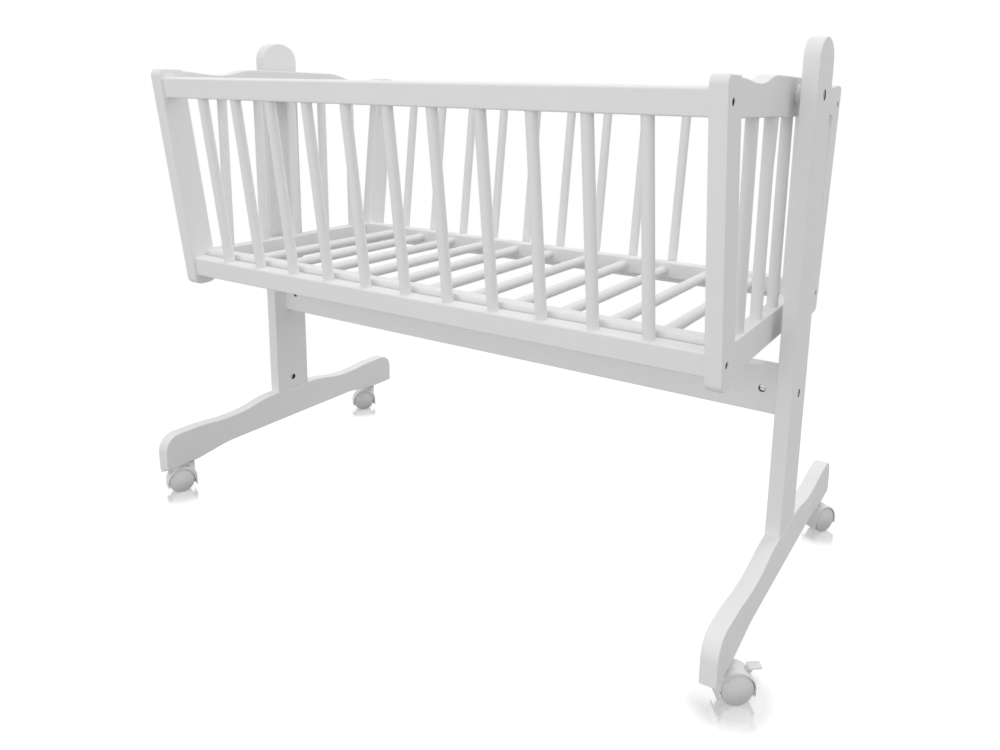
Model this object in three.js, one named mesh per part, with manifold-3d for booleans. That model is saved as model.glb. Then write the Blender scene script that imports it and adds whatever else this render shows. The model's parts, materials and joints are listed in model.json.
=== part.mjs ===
// Swinging cradle: a slatted basket hung between the two posts of a stand that rolls on casters.
// Millimetres. X runs along the cradle, -Y is the front, +Z is up, and the floor is Z = 0.
import * as THREE from 'three';
import { mergeVertices } from 'three/addons/utils/BufferGeometryUtils.js';
import Module from 'manifold-3d';

const wasm = await Module();
wasm.setup();

// Fits that every joint uses
const fitGap = 0.3;
const overrun = 4;
const boardThick = 22;
const tenonDiameter = 10;
const tenonLength = 12;

// Stand: two posts on feet, joined by one stretcher
const standLength = 1030.8;
const standHeight = 803.5;
const postWide = 76;
const postTopRise = 30;
const footLength = 574;
const footPadHeight = 55;
const footPadLength = 62;
const footRampLength = 65;
const footArchRise = 9.5;
const footEndRadius = 28;
const footShoulderHigh = 61;
const footShoulderLength = 55;
const footDipHigh = 56.5;
const footDipReach = 150;
const footSeatHigh = 68;
const footSeatSpare = 2;
const stretcherHigh = 70;
const stretcherThick = 20;
const stretcherBelowBasket = 27.2;

// Basket: hung from the posts, with heights from its swing axis and its leaning corner posts' ends
const pivotBelowPostTop = 73.5;
const pivotSpacerLong = 13.4;
const pivotSpacerDiameter = 25.5;
const leanAngle = THREE.MathUtils.degToRad(7.03);
const cornerPostAbovePivot = 17.4;
const cornerPostBelowPivot = 342.8;
const cornerPostWide = 45;
const cornerPostHalfSpan = 231.1;
const cornerPostRound = 14;
const sideRailHigh = 31.5;
const sideRailRecess = 5.75;
const sideTopRailBelowPostTop = 28.7;
const sideBottomRailAbovePostFoot = 32.45;
const spindleDiameter = 16;
const sideSpindleCount = 11;
const endSpindleCount = 5;
const endSpindlePitch = 76;
const endTopRailBelowPivot = 28.5;
const endTopRailShoulderRise = 15;
const endTopRailDipRise = 11;
const endTopRailDipReach = 165;
const endTopRailCrestRise = 22.5;
const endTopRailCrestReach = 85;
const endBottomRailAbovePostFoot = 12.8;
const endBottomRailHigh = 42.5;
const baseRailAbovePostFoot = 29.8;
const baseRailHigh = 27;

// Screws, cross nuts and the pivot bolts
const boltDiameter = 6;
const boltHeadDiameter = 11;
const boltHeadLong = 5.5;
const headRecess = 1.2;
const socketDiameter = 5.8;
const socketDeep = 3.2;
const cornerBoltGrip = 34;
const nutDiameter = 10;
const nutLong = 14;
const nutSlotWide = 1.4;
const nutSlotDeep = 1.2;
const nutSetback = 26.9;
const footNutRise = 23;
const boltPastNut = 9;
const footBoltRecess = 14;
const pivotBoltDiameter = 8;
const pivotHeadDiameter = 13;
const pivotHeadLong = 6;
const pivotSocketDiameter = 7;
const pivotBoltSpare = 4;

// Twin-wheel casters: hooded housing, wheel pair and brake lever
const casterInset = 53;
const wheelDiameter = 42.5;
const wheelBulge = 2.2;
const wheelFaceShares = [0.5, 0.75];
const treadWide = 10.5;
const rimRound = 2.4;
const axleDiameter = 5;
const wheelSideGap = 0.4;
const casterTrail = 17.5;
const webThick = 6;
const hoodWheelGap = 0.8;
const hoodThick = 2.5;
const hoodWide = 27;
const hoodTop = 47;
const hoodStemReach = 8;
const hoodTailReach = 41.2;
const hoodStemRound = 21;
const hoodTailRound = 27;
const hoodFrontLow = 10.5;
const hoodBackLow = 13;
const stemDiameter = 8;
const stemLong = 30;
const collarDiameter = 13;
const neckDiameter = 11;
const neckLong = 1.8;
const leverPivotAhead = 10;
const leverPivotAboveAxle = 15.8;
const leverBossDiameter = 5.2;
const leverPinDiameter = 2.4;
const leverThick = 2.6;
const leverBladeWide = 3.4;
const leverRootShare = 0.25;
const pedalReach = 49.5;
const pedalLong = 17.5;
const pedalWide = 13;
const pedalThick = 2.4;
const pedalTopHeight = 46.2;
const pedalRound = 2.5;
const leverSweepLow = THREE.MathUtils.degToRad(-18);
const leverSweepHigh = THREE.MathUtils.degToRad(82);
const leverSweepReach = 12;

// How finely round pieces are faceted: what turns in a hole needs enough sides to keep its clearance
const fixedSides = 8;
const roundSides = 12;
const wheelSides = 24;
const socketSides = 6;
const curveSteps = 5;
const pedalSteps = 2;

// Where each caster stands, the way it has swung, and whether it has a brake
const casters = [
  { name: 'front_left', x: -1, y: -1, turn: THREE.MathUtils.degToRad(-116), braked: true },
  { name: 'front_right', x: 1, y: -1, turn: THREE.MathUtils.degToRad(38), braked: true },
  { name: 'back_left', x: -1, y: 1, turn: THREE.MathUtils.degToRad(-130), braked: false },
  { name: 'back_right', x: 1, y: 1, turn: THREE.MathUtils.degToRad(60), braked: false },
];

// The two ends and the two long sides, each with the way that it lies from the middle
const ends = [['left', -1], ['right', 1]];
const rows = [['front', -1], ['back', 1]];

// Sizes worked out from the ones above
const postOuter = standLength / 2;
const postInner = postOuter - boardThick;
const postMiddle = postOuter - boardThick / 2;
const footSeat = footPadHeight + footSeatHigh;
const pivotHeight = standHeight - pivotBelowPostTop;
const cornerPostTop = pivotHeight + cornerPostAbovePivot;
const cornerPostBottom = pivotHeight - cornerPostBelowPivot;
const sideTopRailHeight = cornerPostTop - sideTopRailBelowPostTop;
const sideBottomRailHeight = cornerPostBottom + sideBottomRailAbovePostFoot;
const endTopRailBottom = pivotHeight - endTopRailBelowPivot;
const endBottomRailBottom = cornerPostBottom + endBottomRailAbovePostFoot;
const endBottomRailTop = endBottomRailBottom + endBottomRailHigh;
const baseRailBottom = cornerPostBottom + baseRailAbovePostFoot;
const stretcherBase = cornerPostBottom - stretcherBelowBasket - stretcherHigh;
const stretcherMiddle = stretcherBase + stretcherHigh / 2;
const basketEnd = postInner - pivotSpacerLong;
const railEnd = basketEnd - boardThick;
const endMiddle = basketEnd - boardThick / 2;
const sideSpindlePitch = 2 * railEnd / (sideSpindleCount + 1);
const sideSpindlePlaces = Array.from({ length: sideSpindleCount },
  (_, index) => (index + 1) * sideSpindlePitch - railEnd);
const endSpindlePlaces = Array.from({ length: endSpindleCount },
  (_, index) => (index - (endSpindleCount - 1) / 2) * endSpindlePitch);
const wheelRadius = wheelDiameter / 2;
const axleHeight = wheelRadius * Math.cos(Math.PI / wheelSides);
const holeGap = 2 * fitGap;

// Paints and metals
const paint = (color, roughness) => new THREE.MeshStandardMaterial({ color, roughness, metalness: 0 });
const whiteWood = () => paint(0xf1f1ef, 0.45);
const whitePlastic = () => paint(0xf4f4f2, 0.35);
const zincSteel = () => new THREE.MeshStandardMaterial({ color: 0xa8aaad, roughness: 0.35, metalness: 0.9 });

// A closed geometry as a solid that can be joined and cut
function solid(geometry) {
  const bare = geometry.index ? geometry.toNonIndexed() : geometry.clone();
  for (const name of ['normal', 'uv']) bare.deleteAttribute(name);
  const merged = mergeVertices(bare);
  return new wasm.Manifold(new wasm.Mesh({
    numProp: 3,
    vertProperties: new Float32Array(merged.attributes.position.array),
    triVerts: new Uint32Array(merged.index.array),
  }));
}

// A solid back as a geometry
function geometryOf(shape) {
  const mesh = shape.getMesh();
  const geometry = new THREE.BufferGeometry();
  geometry.setAttribute('position', new THREE.BufferAttribute(mesh.vertProperties, mesh.numProp));
  geometry.setIndex(new THREE.BufferAttribute(mesh.triVerts, 1));
  geometry.computeVertexNormals();
  return geometry;
}

// A named mesh in a group
function place(group, name, shape, material) {
  const mesh = new THREE.Mesh(shape.isBufferGeometry ? shape : geometryOf(shape), material);
  mesh.name = name;
  group.add(mesh);
  return mesh;
}

// Turns a geometry made in the X-Y plane and extruded along Z so that it lies in Y-Z and runs along X
function acrossX(geometry) {
  const turn = new THREE.Matrix4().makeBasis(
    new THREE.Vector3(0, 1, 0), new THREE.Vector3(0, 0, 1), new THREE.Vector3(1, 0, 0));
  return geometry.applyMatrix4(turn);
}

// A board cut to an outline in Y-Z, from one X to another
function boardYZ(outline, fromX, toX) {
  const flat = new THREE.ExtrudeGeometry(outline,
    { depth: toX - fromX, bevelEnabled: false, curveSegments: curveSteps });
  return solid(acrossX(flat).translate(fromX, 0, 0));
}

// The same at one end of the cradle, between two reaches from the middle
const boardAtEnd = (outline, side, inner, outer) =>
  boardYZ(outline, Math.min(side * inner, side * outer), Math.max(side * inner, side * outer));

// A plate cut to an outline in X-Z, centred on Y = 0
function plateXZ(outline, thick) {
  const flat = new THREE.ExtrudeGeometry(outline,
    { depth: thick, bevelEnabled: false, curveSegments: curveSteps });
  return solid(flat.rotateX(Math.PI / 2).translate(0, thick / 2, 0));
}

// A box between two corners
function box(low, high) {
  const [x, y, z] = low.map((start, axis) => high[axis] - start);
  const [cx, cy, cz] = low.map((start, axis) => (high[axis] + start) / 2);
  return solid(new THREE.BoxGeometry(x, y, z).translate(cx, cy, cz));
}

// A round bar along one axis from a start point
function rod(axis, start, length, diameter, sides = fixedSides) {
  const bar = new THREE.CylinderGeometry(diameter / 2, diameter / 2, Math.abs(length), sides);
  bar.translate(0, length / 2, 0);
  if (axis === 'x') bar.rotateZ(-Math.PI / 2);
  if (axis === 'z') bar.rotateX(Math.PI / 2);
  return solid(bar.translate(...start));
}

// A closed outline with each corner rounded by the radius that goes with it
function roundedOutline(corners) {
  const outline = new THREE.Shape();
  corners.forEach(([x, y, radius], index) => {
    const here = new THREE.Vector2(x, y);
    const before = new THREE.Vector2(...corners.at(index - 1)).sub(here).normalize();
    const after = new THREE.Vector2(...corners[(index + 1) % corners.length]).sub(here).normalize();
    const turn = Math.PI - Math.acos(before.dot(after));
    const run = radius * Math.tan(turn / 2);
    const pull = run - radius * 4 / 3 * Math.tan(turn / 4);
    const at = (way, distance) => here.clone().addScaledVector(way, distance);
    const start = at(before, run);
    if (index === 0) outline.moveTo(start.x, start.y);
    else outline.lineTo(start.x, start.y);
    if (radius === 0) return;
    const [pullIn, pullOut, end] = [at(before, pull), at(after, pull), at(after, run)];
    outline.bezierCurveTo(pullIn.x, pullIn.y, pullOut.x, pullOut.y, end.x, end.y);
  });
  outline.closePath();
  return outline;
}

// Level-to-level waves through [reach, height] stations, each crossing flat
function waveThrough(outline, stations) {
  stations.reduce(([x0, y0], [x1, y1]) => {
    const half = (x0 + x1) / 2;
    outline.bezierCurveTo(half, y0, half, y1, x1, y1);
    return [x1, y1];
  });
}

// The same stations on the other side of the middle
const mirrored = (stations) => stations.map(([reach, height]) => [-reach, height]);

// A socket-head screw along X with its head outwards: side is the way that the head faces
function screwAlongX(side, headFace, y, z, length, sizes) {
  const { shank, shankSides, head, headLong, socket } = sizes;
  const shaft = rod('x', [headFace, y, z], -side * length, shank, shankSides);
  const cap = rod('x', [headFace, y, z], -side * headLong, head, roundSides);
  const hex = rod('x', [headFace + side * overrun, y, z], -side * (overrun + socketDeep),
    socket, socketSides);
  return shaft.add(cap).subtract(hex);
}

// The room that such a screw needs in the wood around it
function screwRoomAlongX(side, face, y, z, length, sizes) {
  const { shank, shankSides, head, headLong } = sizes;
  const start = face + side * overrun;
  const deep = overrun + headRecess + length + fitGap;
  const shaft = rod('x', [start, y, z], -side * deep, shank + holeGap, shankSides);
  const seat = overrun + headRecess + headLong + fitGap;
  return shaft.add(rod('x', [start, y, z], -side * seat, head + holeGap, roundSides));
}

// The screws that hold boards together, and the larger ones that the basket turns on
const frameScrew = {
  shank: boltDiameter,
  shankSides: fixedSides,
  head: boltHeadDiameter,
  headLong: boltHeadLong,
  socket: socketDiameter,
};
const pivotScrew = {
  shank: pivotBoltDiameter,
  shankSides: roundSides,
  head: pivotHeadDiameter,
  headLong: pivotHeadLong,
  socket: pivotSocketDiameter,
};
const stretcherBoltLong = boardThick - headRecess + nutSetback + boltPastNut;
const pivotBoltLong = boardThick - headRecess + pivotSpacerLong + boardThick - pivotBoltSpare;
const cornerBoltLong = boardThick - headRecess + cornerBoltGrip;

// A point moved along one axis
const moved = (point, axis, distance) =>
  point.map((value, index) => value + ('xyz'[index] === axis ? distance : 0));

// A cross nut: a round bar with its slotted face to one side and a hole through its middle for the bolt
function crossNut(axis, middle, side, boltAxis) {
  const face = moved(middle, axis, side * nutLong / 2);
  const nut = rod(axis, face, -side * nutLong, nutDiameter);
  const bore = rod(boltAxis, moved(middle, boltAxis, -nutDiameter), 2 * nutDiameter, boltDiameter + holeGap);
  const deep = moved(face, axis, -side * nutSlotDeep);
  const open = moved(face, axis, side * overrun);
  const slot = box(
    deep.map((value, index) => Math.min(value, open[index]) - slotReach(axis, index)),
    deep.map((value, index) => Math.max(value, open[index]) + slotReach(axis, index)));
  return nut.subtract(bore).subtract(slot);
}

// The blind hole that a cross nut is pushed into, from a face half a board away
function crossNutRoom(axis, middle, side, halfBoard) {
  return rod(axis, moved(middle, axis, side * (halfBoard + overrun)),
    -side * (halfBoard + overrun + nutLong / 2 + fitGap), nutDiameter + holeGap);
}

// Half the size of the nut's screwdriver slot: nothing along the nut, thin upwards, long across
function slotReach(axis, index) {
  if ('xyz'[index] === axis) return 0;
  return 'xyz'[index] === 'z' ? nutSlotWide / 2 : nutDiameter;
}

// The stand's post: an upright board with a rounded top
function standPost(side) {
  const outline = new THREE.Shape();
  outline.moveTo(-postWide / 2, footSeat);
  outline.lineTo(postWide / 2, footSeat);
  outline.lineTo(postWide / 2, standHeight - postTopRise);
  outline.absellipse(0, standHeight - postTopRise, postWide / 2, postTopRise, 0, Math.PI, false);
  outline.closePath();
  const face = side * postOuter;
  const footNutHeight = footSeat + footNutRise;
  return boardAtEnd(outline, side, postInner, postOuter)
    .subtract(screwRoomAlongX(side, face, 0, stretcherMiddle, stretcherBoltLong, frameScrew))
    .subtract(screwRoomAlongX(side, face, 0, pivotHeight, pivotBoltLong, pivotScrew))
    .subtract(rod('z', [side * postMiddle, 0, footSeat - overrun],
      overrun + footNutRise + boltPastNut + fitGap, boltDiameter + holeGap))
    .subtract(crossNutRoom('x', [side * postMiddle, 0, footNutHeight], -side, boardThick / 2));
}

// The stand's foot: a long board on two pads, waved on top, with a seat for the post
function standFoot(side) {
  const half = footLength / 2;
  const top = [
    [half - footShoulderLength, footPadHeight + footShoulderHigh],
    [footDipReach, footPadHeight + footDipHigh],
    [postWide / 2 + footSeatSpare, footSeat],
  ];
  const shoulder = footPadHeight + footShoulderHigh;
  const padEnd = half - footPadLength;
  const rampEnd = padEnd - footRampLength;
  const outline = new THREE.Shape();
  outline.moveTo(-rampEnd, footPadHeight + footArchRise);
  outline.lineTo(-padEnd, footPadHeight);
  outline.lineTo(-half, footPadHeight);
  outline.lineTo(-half, shoulder - footEndRadius);
  outline.absarc(-half + footEndRadius, shoulder - footEndRadius, footEndRadius, Math.PI, Math.PI / 2, true);
  outline.lineTo(-top[0][0], top[0][1]);
  waveThrough(outline, mirrored(top));
  outline.lineTo(top[2][0], top[2][1]);
  waveThrough(outline, top.toReversed());
  outline.lineTo(half - footEndRadius, shoulder);
  outline.absarc(half - footEndRadius, shoulder - footEndRadius, footEndRadius, Math.PI / 2, 0, true);
  outline.lineTo(half, footPadHeight);
  outline.lineTo(padEnd, footPadHeight);
  outline.lineTo(rampEnd, footPadHeight + footArchRise);
  outline.closePath();
  const arch = footPadHeight + footArchRise;
  const stemReach = half - casterInset;
  const stemRoom = (y) => rod('z', [side * postMiddle, y, footPadHeight - overrun],
    overrun + stemLong + fitGap, stemDiameter + holeGap, roundSides);
  return boardAtEnd(outline, side, postInner, postOuter)
    .subtract(rod('z', [side * postMiddle, 0, arch - overrun],
      footSeatHigh + 2 * overrun, boltDiameter + holeGap))
    .subtract(rod('z', [side * postMiddle, 0, arch - overrun],
      overrun + footBoltRecess + boltHeadLong + fitGap, boltHeadDiameter + holeGap, roundSides))
    .subtract(stemRoom(-stemReach))
    .subtract(stemRoom(stemReach));
}

// The bolt that draws a post down on its foot
function footBolt(side) {
  const head = footPadHeight + footArchRise + footBoltRecess;
  const tip = footSeat + footNutRise + boltPastNut;
  const at = [side * postMiddle, 0, head];
  return rod('z', at, tip - head, boltDiameter)
    .add(rod('z', at, boltHeadLong, boltHeadDiameter, roundSides))
    .subtract(rod('z', [side * postMiddle, 0, head - overrun],
      overrun + socketDeep, socketDiameter, socketSides));
}

// The board that ties the two posts together
function stretcher() {
  const board = box(
    [-postInner, -stretcherThick / 2, stretcherBase],
    [postInner, stretcherThick / 2, stretcherBase + stretcherHigh]);
  return ends.reduce((piece, [, side]) => piece
    .subtract(screwRoomAlongX(side, side * postOuter, 0, stretcherMiddle, stretcherBoltLong, frameScrew))
    .subtract(crossNutRoom('y', [side * (postInner - nutSetback), 0, stretcherMiddle],
      -1, stretcherThick / 2)), board);
}

// Stand: everything that stays still on the floor but the casters
function makeStand() {
  const stand = new THREE.Group();
  for (const [name, side] of ends) {
    const boltFace = side * (postOuter - headRecess);
    place(stand, `${name}_post`, standPost(side), whiteWood());
    place(stand, `${name}_foot`, standFoot(side), whiteWood());
    place(stand, `${name}_foot_bolt`, footBolt(side), zincSteel());
    place(stand, `${name}_foot_nut`,
      crossNut('x', [side * postMiddle, 0, footSeat + footNutRise], -side, 'z'), zincSteel());
    place(stand, `${name}_stretcher_bolt`,
      screwAlongX(side, boltFace, 0, stretcherMiddle, stretcherBoltLong, frameScrew), zincSteel());
    place(stand, `${name}_stretcher_nut`,
      crossNut('y', [side * (postInner - nutSetback), 0, stretcherMiddle], -1, 'x'), zincSteel());
  }
  place(stand, 'stretcher', stretcher(), whiteWood());
  return stand;
}

// How far out the outer edge of a corner post is at a height
const cornerPostEdge = (z) => cornerPostHalfSpan + (z - cornerPostBottom) * Math.tan(leanAngle);

// Where the middle of a side rail is, at a height
const railMiddle = (z) => cornerPostEdge(z) - sideRailRecess - boardThick / 2 / Math.cos(leanAngle);

// The corner post's bolts, on the middles of the side rails
const cornerBoltPlaces = [['top', sideTopRailHeight], ['bottom', sideBottomRailHeight]];

// A corner post of the basket: a leaning board with rounded ends
function cornerPost(endSide, rowSide) {
  const low = cornerPostEdge(cornerPostBottom);
  const high = cornerPostEdge(cornerPostTop);
  const corners = [
    [low - cornerPostWide, cornerPostBottom], [low, cornerPostBottom],
    [high, cornerPostTop], [high - cornerPostWide, cornerPostTop],
  ].map(([y, z]) => [rowSide * y, z, cornerPostRound]);
  const outline = roundedOutline(rowSide > 0 ? corners : corners.reverse());
  return cornerBoltPlaces.reduce((post, [, z]) => post.subtract(
    screwRoomAlongX(endSide, endSide * basketEnd, rowSide * railMiddle(z), z, cornerBoltLong, frameScrew)),
  boardAtEnd(outline, endSide, railEnd, basketEnd));
}

// How far out an end rail reaches at a height: to the corner post's inner edge
const endRailReach = (z) => cornerPostEdge(z) - cornerPostWide - fitGap;

// The holes for the tenons of a row of end spindles, into a face that looks up or down
function endTenonRooms(endSide, face, way) {
  return endSpindlePlaces.map((y) => rod('z', [endSide * endMiddle, y, face - way * overrun],
    way * (overrun + tenonLength + fitGap), tenonDiameter + holeGap));
}

// The end's top rail: waved on top, highest over the pivot
function endTopRail(endSide) {
  const shoulder = pivotHeight + endTopRailShoulderRise;
  const crest = pivotHeight + endTopRailCrestRise;
  const wave = [
    [endRailReach(shoulder), shoulder],
    [endTopRailDipReach, pivotHeight + endTopRailDipRise],
    [endTopRailCrestReach, crest],
  ];
  const outline = new THREE.Shape();
  outline.moveTo(-endRailReach(endTopRailBottom), endTopRailBottom);
  outline.lineTo(endRailReach(endTopRailBottom), endTopRailBottom);
  outline.lineTo(...wave[0]);
  waveThrough(outline, wave);
  outline.lineTo(-endTopRailCrestReach, crest);
  waveThrough(outline, mirrored(wave).toReversed());
  outline.closePath();
  const rail = boardAtEnd(outline, endSide, railEnd, basketEnd)
    .subtract(screwRoomAlongX(endSide, endSide * postOuter, 0, pivotHeight, pivotBoltLong, pivotScrew));
  return endTenonRooms(endSide, endTopRailBottom, 1).reduce((piece, room) => piece.subtract(room), rail);
}

// The end's bottom rail: straight, cut to the lean of the corner posts
function endBottomRail(endSide) {
  const [low, high] = [endRailReach(endBottomRailBottom), endRailReach(endBottomRailTop)];
  const outline = roundedOutline([
    [-low, endBottomRailBottom, 0], [low, endBottomRailBottom, 0],
    [high, endBottomRailTop, 0], [-high, endBottomRailTop, 0]]);
  return endTenonRooms(endSide, endBottomRailTop, -1)
    .reduce((piece, room) => piece.subtract(room), boardAtEnd(outline, endSide, railEnd, basketEnd));
}

// An upright end spindle with a tenon at both ends
function endSpindle(endSide, y) {
  const [low, high] = [endBottomRailTop, endTopRailBottom];
  const x = endSide * endMiddle;
  return rod('z', [x, y, low], high - low, spindleDiameter, roundSides)
    .add(rod('z', [x, y, low - tenonLength], high - low + 2 * tenonLength, tenonDiameter));
}

// Ends of the basket: posts, rails, spindles, corner bolts, pivot bolt and spacer
function makeBasketEnd(name, side) {
  const end = new THREE.Group();
  place(end, `${name}_end_top_rail`, endTopRail(side), whiteWood());
  place(end, `${name}_end_bottom_rail`, endBottomRail(side), whiteWood());
  endSpindlePlaces.forEach((y, index) => {
    place(end, `${name}_end_spindle_${index + 1}`, endSpindle(side, y), whiteWood());
  });
  for (const [row, rowSide] of rows) {
    place(end, `${row}_${name}_corner_post`, cornerPost(side, rowSide), whiteWood());
    for (const [level, z] of cornerBoltPlaces) {
      const bolt = screwAlongX(side, side * (basketEnd - headRecess), rowSide * railMiddle(z), z,
        cornerBoltLong, frameScrew);
      place(end, `${row}_${name}_${level}_corner_bolt`, bolt, zincSteel());
    }
  }
  const pivotBolt = screwAlongX(side, side * (postOuter - headRecess), 0, pivotHeight,
    pivotBoltLong, pivotScrew);
  place(end, `${name}_pivot_bolt`, pivotBolt, zincSteel());
  const spacerStart = [side * basketEnd, 0, pivotHeight];
  const spacer = rod('x', spacerStart, side * (pivotSpacerLong - fitGap), pivotSpacerDiameter, wheelSides)
    .subtract(rod('x', [side * (basketEnd - overrun), 0, pivotHeight],
      side * (pivotSpacerLong + 2 * overrun), pivotBoltDiameter + holeGap, roundSides));
  place(end, `${name}_pivot_spacer`, spacer, whitePlastic());
  return end;
}

// A side of the basket, built upright and then leaned: its top rail, and its bottom rail with the spindles
function makeBasketSide(name, side) {
  const group = new THREE.Group();
  group.position.set(0, side * railMiddle(sideBottomRailHeight), sideBottomRailHeight);
  group.rotation.x = -side * leanAngle;
  const rise = (sideTopRailHeight - sideBottomRailHeight) / Math.cos(leanAngle);
  const half = sideRailHigh / 2;
  const rail = (z) => ends.reduce((piece, [, endSide]) => piece.subtract(
    rod('x', [endSide * (railEnd + overrun), 0, z], -endSide * (overrun + cornerBoltGrip + fitGap),
      boltDiameter + holeGap)),
  box([-railEnd, -boardThick / 2, z - half], [railEnd, boardThick / 2, z + half]));
  const shoulder = rise - half - fitGap;
  const spindles = sideSpindlePlaces.map((x) => rod('z', [x, 0, 0], shoulder, spindleDiameter, roundSides)
    .add(rod('z', [x, 0, 0], shoulder + tenonLength, tenonDiameter)));
  const rooms = sideSpindlePlaces.map((x) => rod('z', [x, 0, shoulder - overrun],
    overrun + tenonLength + 2 * fitGap, tenonDiameter + holeGap));
  place(group, `${name}_top_rail`,
    rooms.reduce((piece, room) => piece.subtract(room), rail(rise)), whiteWood());
  place(group, `${name}_bottom_rail_with_spindles`,
    spindles.reduce((piece, spindle) => piece.add(spindle), rail(0)), whiteWood());
  return group;
}

// The slatted base: two rails inside the side rails, and round slats between them
function makeBase() {
  const base = new THREE.Group();
  const innerCorner = railMiddle(sideBottomRailHeight)
    - boardThick / 2 * Math.cos(leanAngle) - sideRailHigh / 2 * Math.sin(leanAngle);
  const outside = innerCorner - fitGap;
  const inside = outside - boardThick;
  const middle = baseRailBottom + baseRailHigh / 2;
  const rail = (side) => {
    const [near, far] = [side * inside, side * outside].sort((a, b) => a - b);
    return box([-railEnd, near, baseRailBottom], [railEnd, far, baseRailBottom + baseRailHigh]);
  };
  const slats = sideSpindlePlaces.map((x) => rod('y', [x, -inside + fitGap, middle], 2 * inside,
    spindleDiameter, roundSides)
    .add(rod('y', [x, -inside - tenonLength, middle], 2 * inside + tenonLength, tenonDiameter)));
  const rooms = sideSpindlePlaces.map((x) => rod('y', [x, -inside - tenonLength - fitGap, middle],
    tenonLength + overrun, tenonDiameter + holeGap));
  place(base, 'base_front_rail',
    rooms.reduce((piece, room) => piece.subtract(room), rail(-1)), whiteWood());
  place(base, 'base_back_rail_with_slats',
    slats.reduce((piece, slat) => piece.add(slat), rail(1)), whiteWood());
  return base;
}

// The basket hangs as one body from its two pivot bolts
function makeBasket() {
  const basket = new THREE.Group();
  for (const [name, side] of ends) basket.add(makeBasketEnd(name, side));
  for (const [name, side] of rows) basket.add(makeBasketSide(name, side));
  basket.add(makeBase());
  return basket;
}

// Caster parts are built with the stem on Z and the wheels trailing towards +X
const leverPivot = [casterTrail + leverPivotAhead, axleHeight + leverPivotAboveAxle];

// The room for one wheel under the hood, with more of it on the side of the stem
function wheelRoom(side) {
  const wide = (hoodWide - webThick) / 2 + overrun;
  const [near, far] = [side * webThick / 2, side * (webThick / 2 + wide)].sort((a, b) => a - b);
  return rod('y', [casterTrail, near, axleHeight], wide, wheelDiameter + 2 * hoodWheelGap, wheelSides)
    .add(box([hoodThick - hoodStemReach, near, -overrun], [casterTrail, far, axleHeight]));
}

// The housing: a domed hood over both wheels, a web between them, a collar, a neck and the stem
function casterHousing(braked) {
  const collarTop = footPadHeight - fitGap - neckLong;
  const dome = roundedOutline([
    [-hoodStemReach, 0, 0], [hoodTailReach, 0, 0],
    [hoodTailReach, hoodTop, hoodTailRound], [-hoodStemReach, hoodTop, hoodStemRound]]);
  const below = new THREE.Shape();
  below.moveTo(-hoodStemReach - overrun, hoodFrontLow);
  below.lineTo(-hoodStemReach - overrun, -overrun);
  below.lineTo(hoodTailReach + overrun, -overrun);
  below.lineTo(hoodTailReach + overrun, hoodBackLow);
  below.closePath();
  const whole = plateXZ(dome, hoodWide)
    .add(rod('z', [0, 0, axleHeight], collarTop - axleHeight, collarDiameter, roundSides))
    .subtract(wheelRoom(-1))
    .subtract(wheelRoom(1))
    .subtract(plateXZ(below, hoodWide + 2 * overrun))
    .subtract(rod('y', [casterTrail, -hoodWide / 2, axleHeight], hoodWide, axleDiameter + holeGap, wheelSides))
    .add(rod('z', [0, 0, collarTop], footPadHeight - fitGap - collarTop, neckDiameter, roundSides))
    .add(rod('z', [0, 0, collarTop], footPadHeight + stemLong - collarTop, stemDiameter, roundSides));
  return braked ? whole.subtract(leverRoom()) : whole;
}

// The slot that the brake lever swings in, and the holes for its pin
function leverRoom() {
  const [x, z] = leverPivot;
  const sweep = new THREE.Shape();
  sweep.moveTo(x, z);
  sweep.lineTo(x + leverSweepReach * Math.cos(leverSweepLow), z + leverSweepReach * Math.sin(leverSweepLow));
  sweep.absarc(x, z, leverSweepReach, leverSweepLow, leverSweepHigh, false);
  sweep.closePath();
  const slotWide = leverThick + holeGap;
  return plateXZ(sweep, slotWide)
    .add(rod('y', [x, -slotWide / 2, z], slotWide, leverBossDiameter + holeGap, roundSides))
    .add(rod('y', [x, -webThick, z], 2 * webThick, leverPinDiameter + holeGap, roundSides));
}

// The brake lever: a boss on a pin, a blade through the hood and a pedal behind it
function brakeLever() {
  const [x, z] = leverPivot;
  const pedalStart = pedalReach - pedalLong;
  const pedalUnder = pedalTopHeight - pedalThick;
  const blade = new THREE.Shape();
  const root = leverBossDiameter * leverRootShare;
  blade.moveTo(x - root, z);
  blade.lineTo(x + root, z - root);
  blade.lineTo(pedalStart + leverBladeWide, pedalUnder);
  blade.lineTo(pedalStart + leverBladeWide, pedalTopHeight);
  blade.lineTo(pedalStart, pedalTopHeight);
  blade.closePath();
  const plan = roundedOutline([
    [pedalStart, -pedalWide / 2, pedalRound], [pedalReach, -pedalWide / 2, pedalRound],
    [pedalReach, pedalWide / 2, pedalRound], [pedalStart, pedalWide / 2, pedalRound]]);
  const pedal = new THREE.ExtrudeGeometry(plan,
    { depth: pedalThick, bevelEnabled: false, curveSegments: pedalSteps });
  return plateXZ(blade, leverThick)
    .add(rod('y', [x, -leverThick / 2, z], leverThick, leverBossDiameter, roundSides))
    .add(rod('y', [x, -webThick / 2, z], webThick, leverPinDiameter, roundSides))
    .add(solid(pedal.translate(0, 0, pedalUnder)));
}

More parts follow.
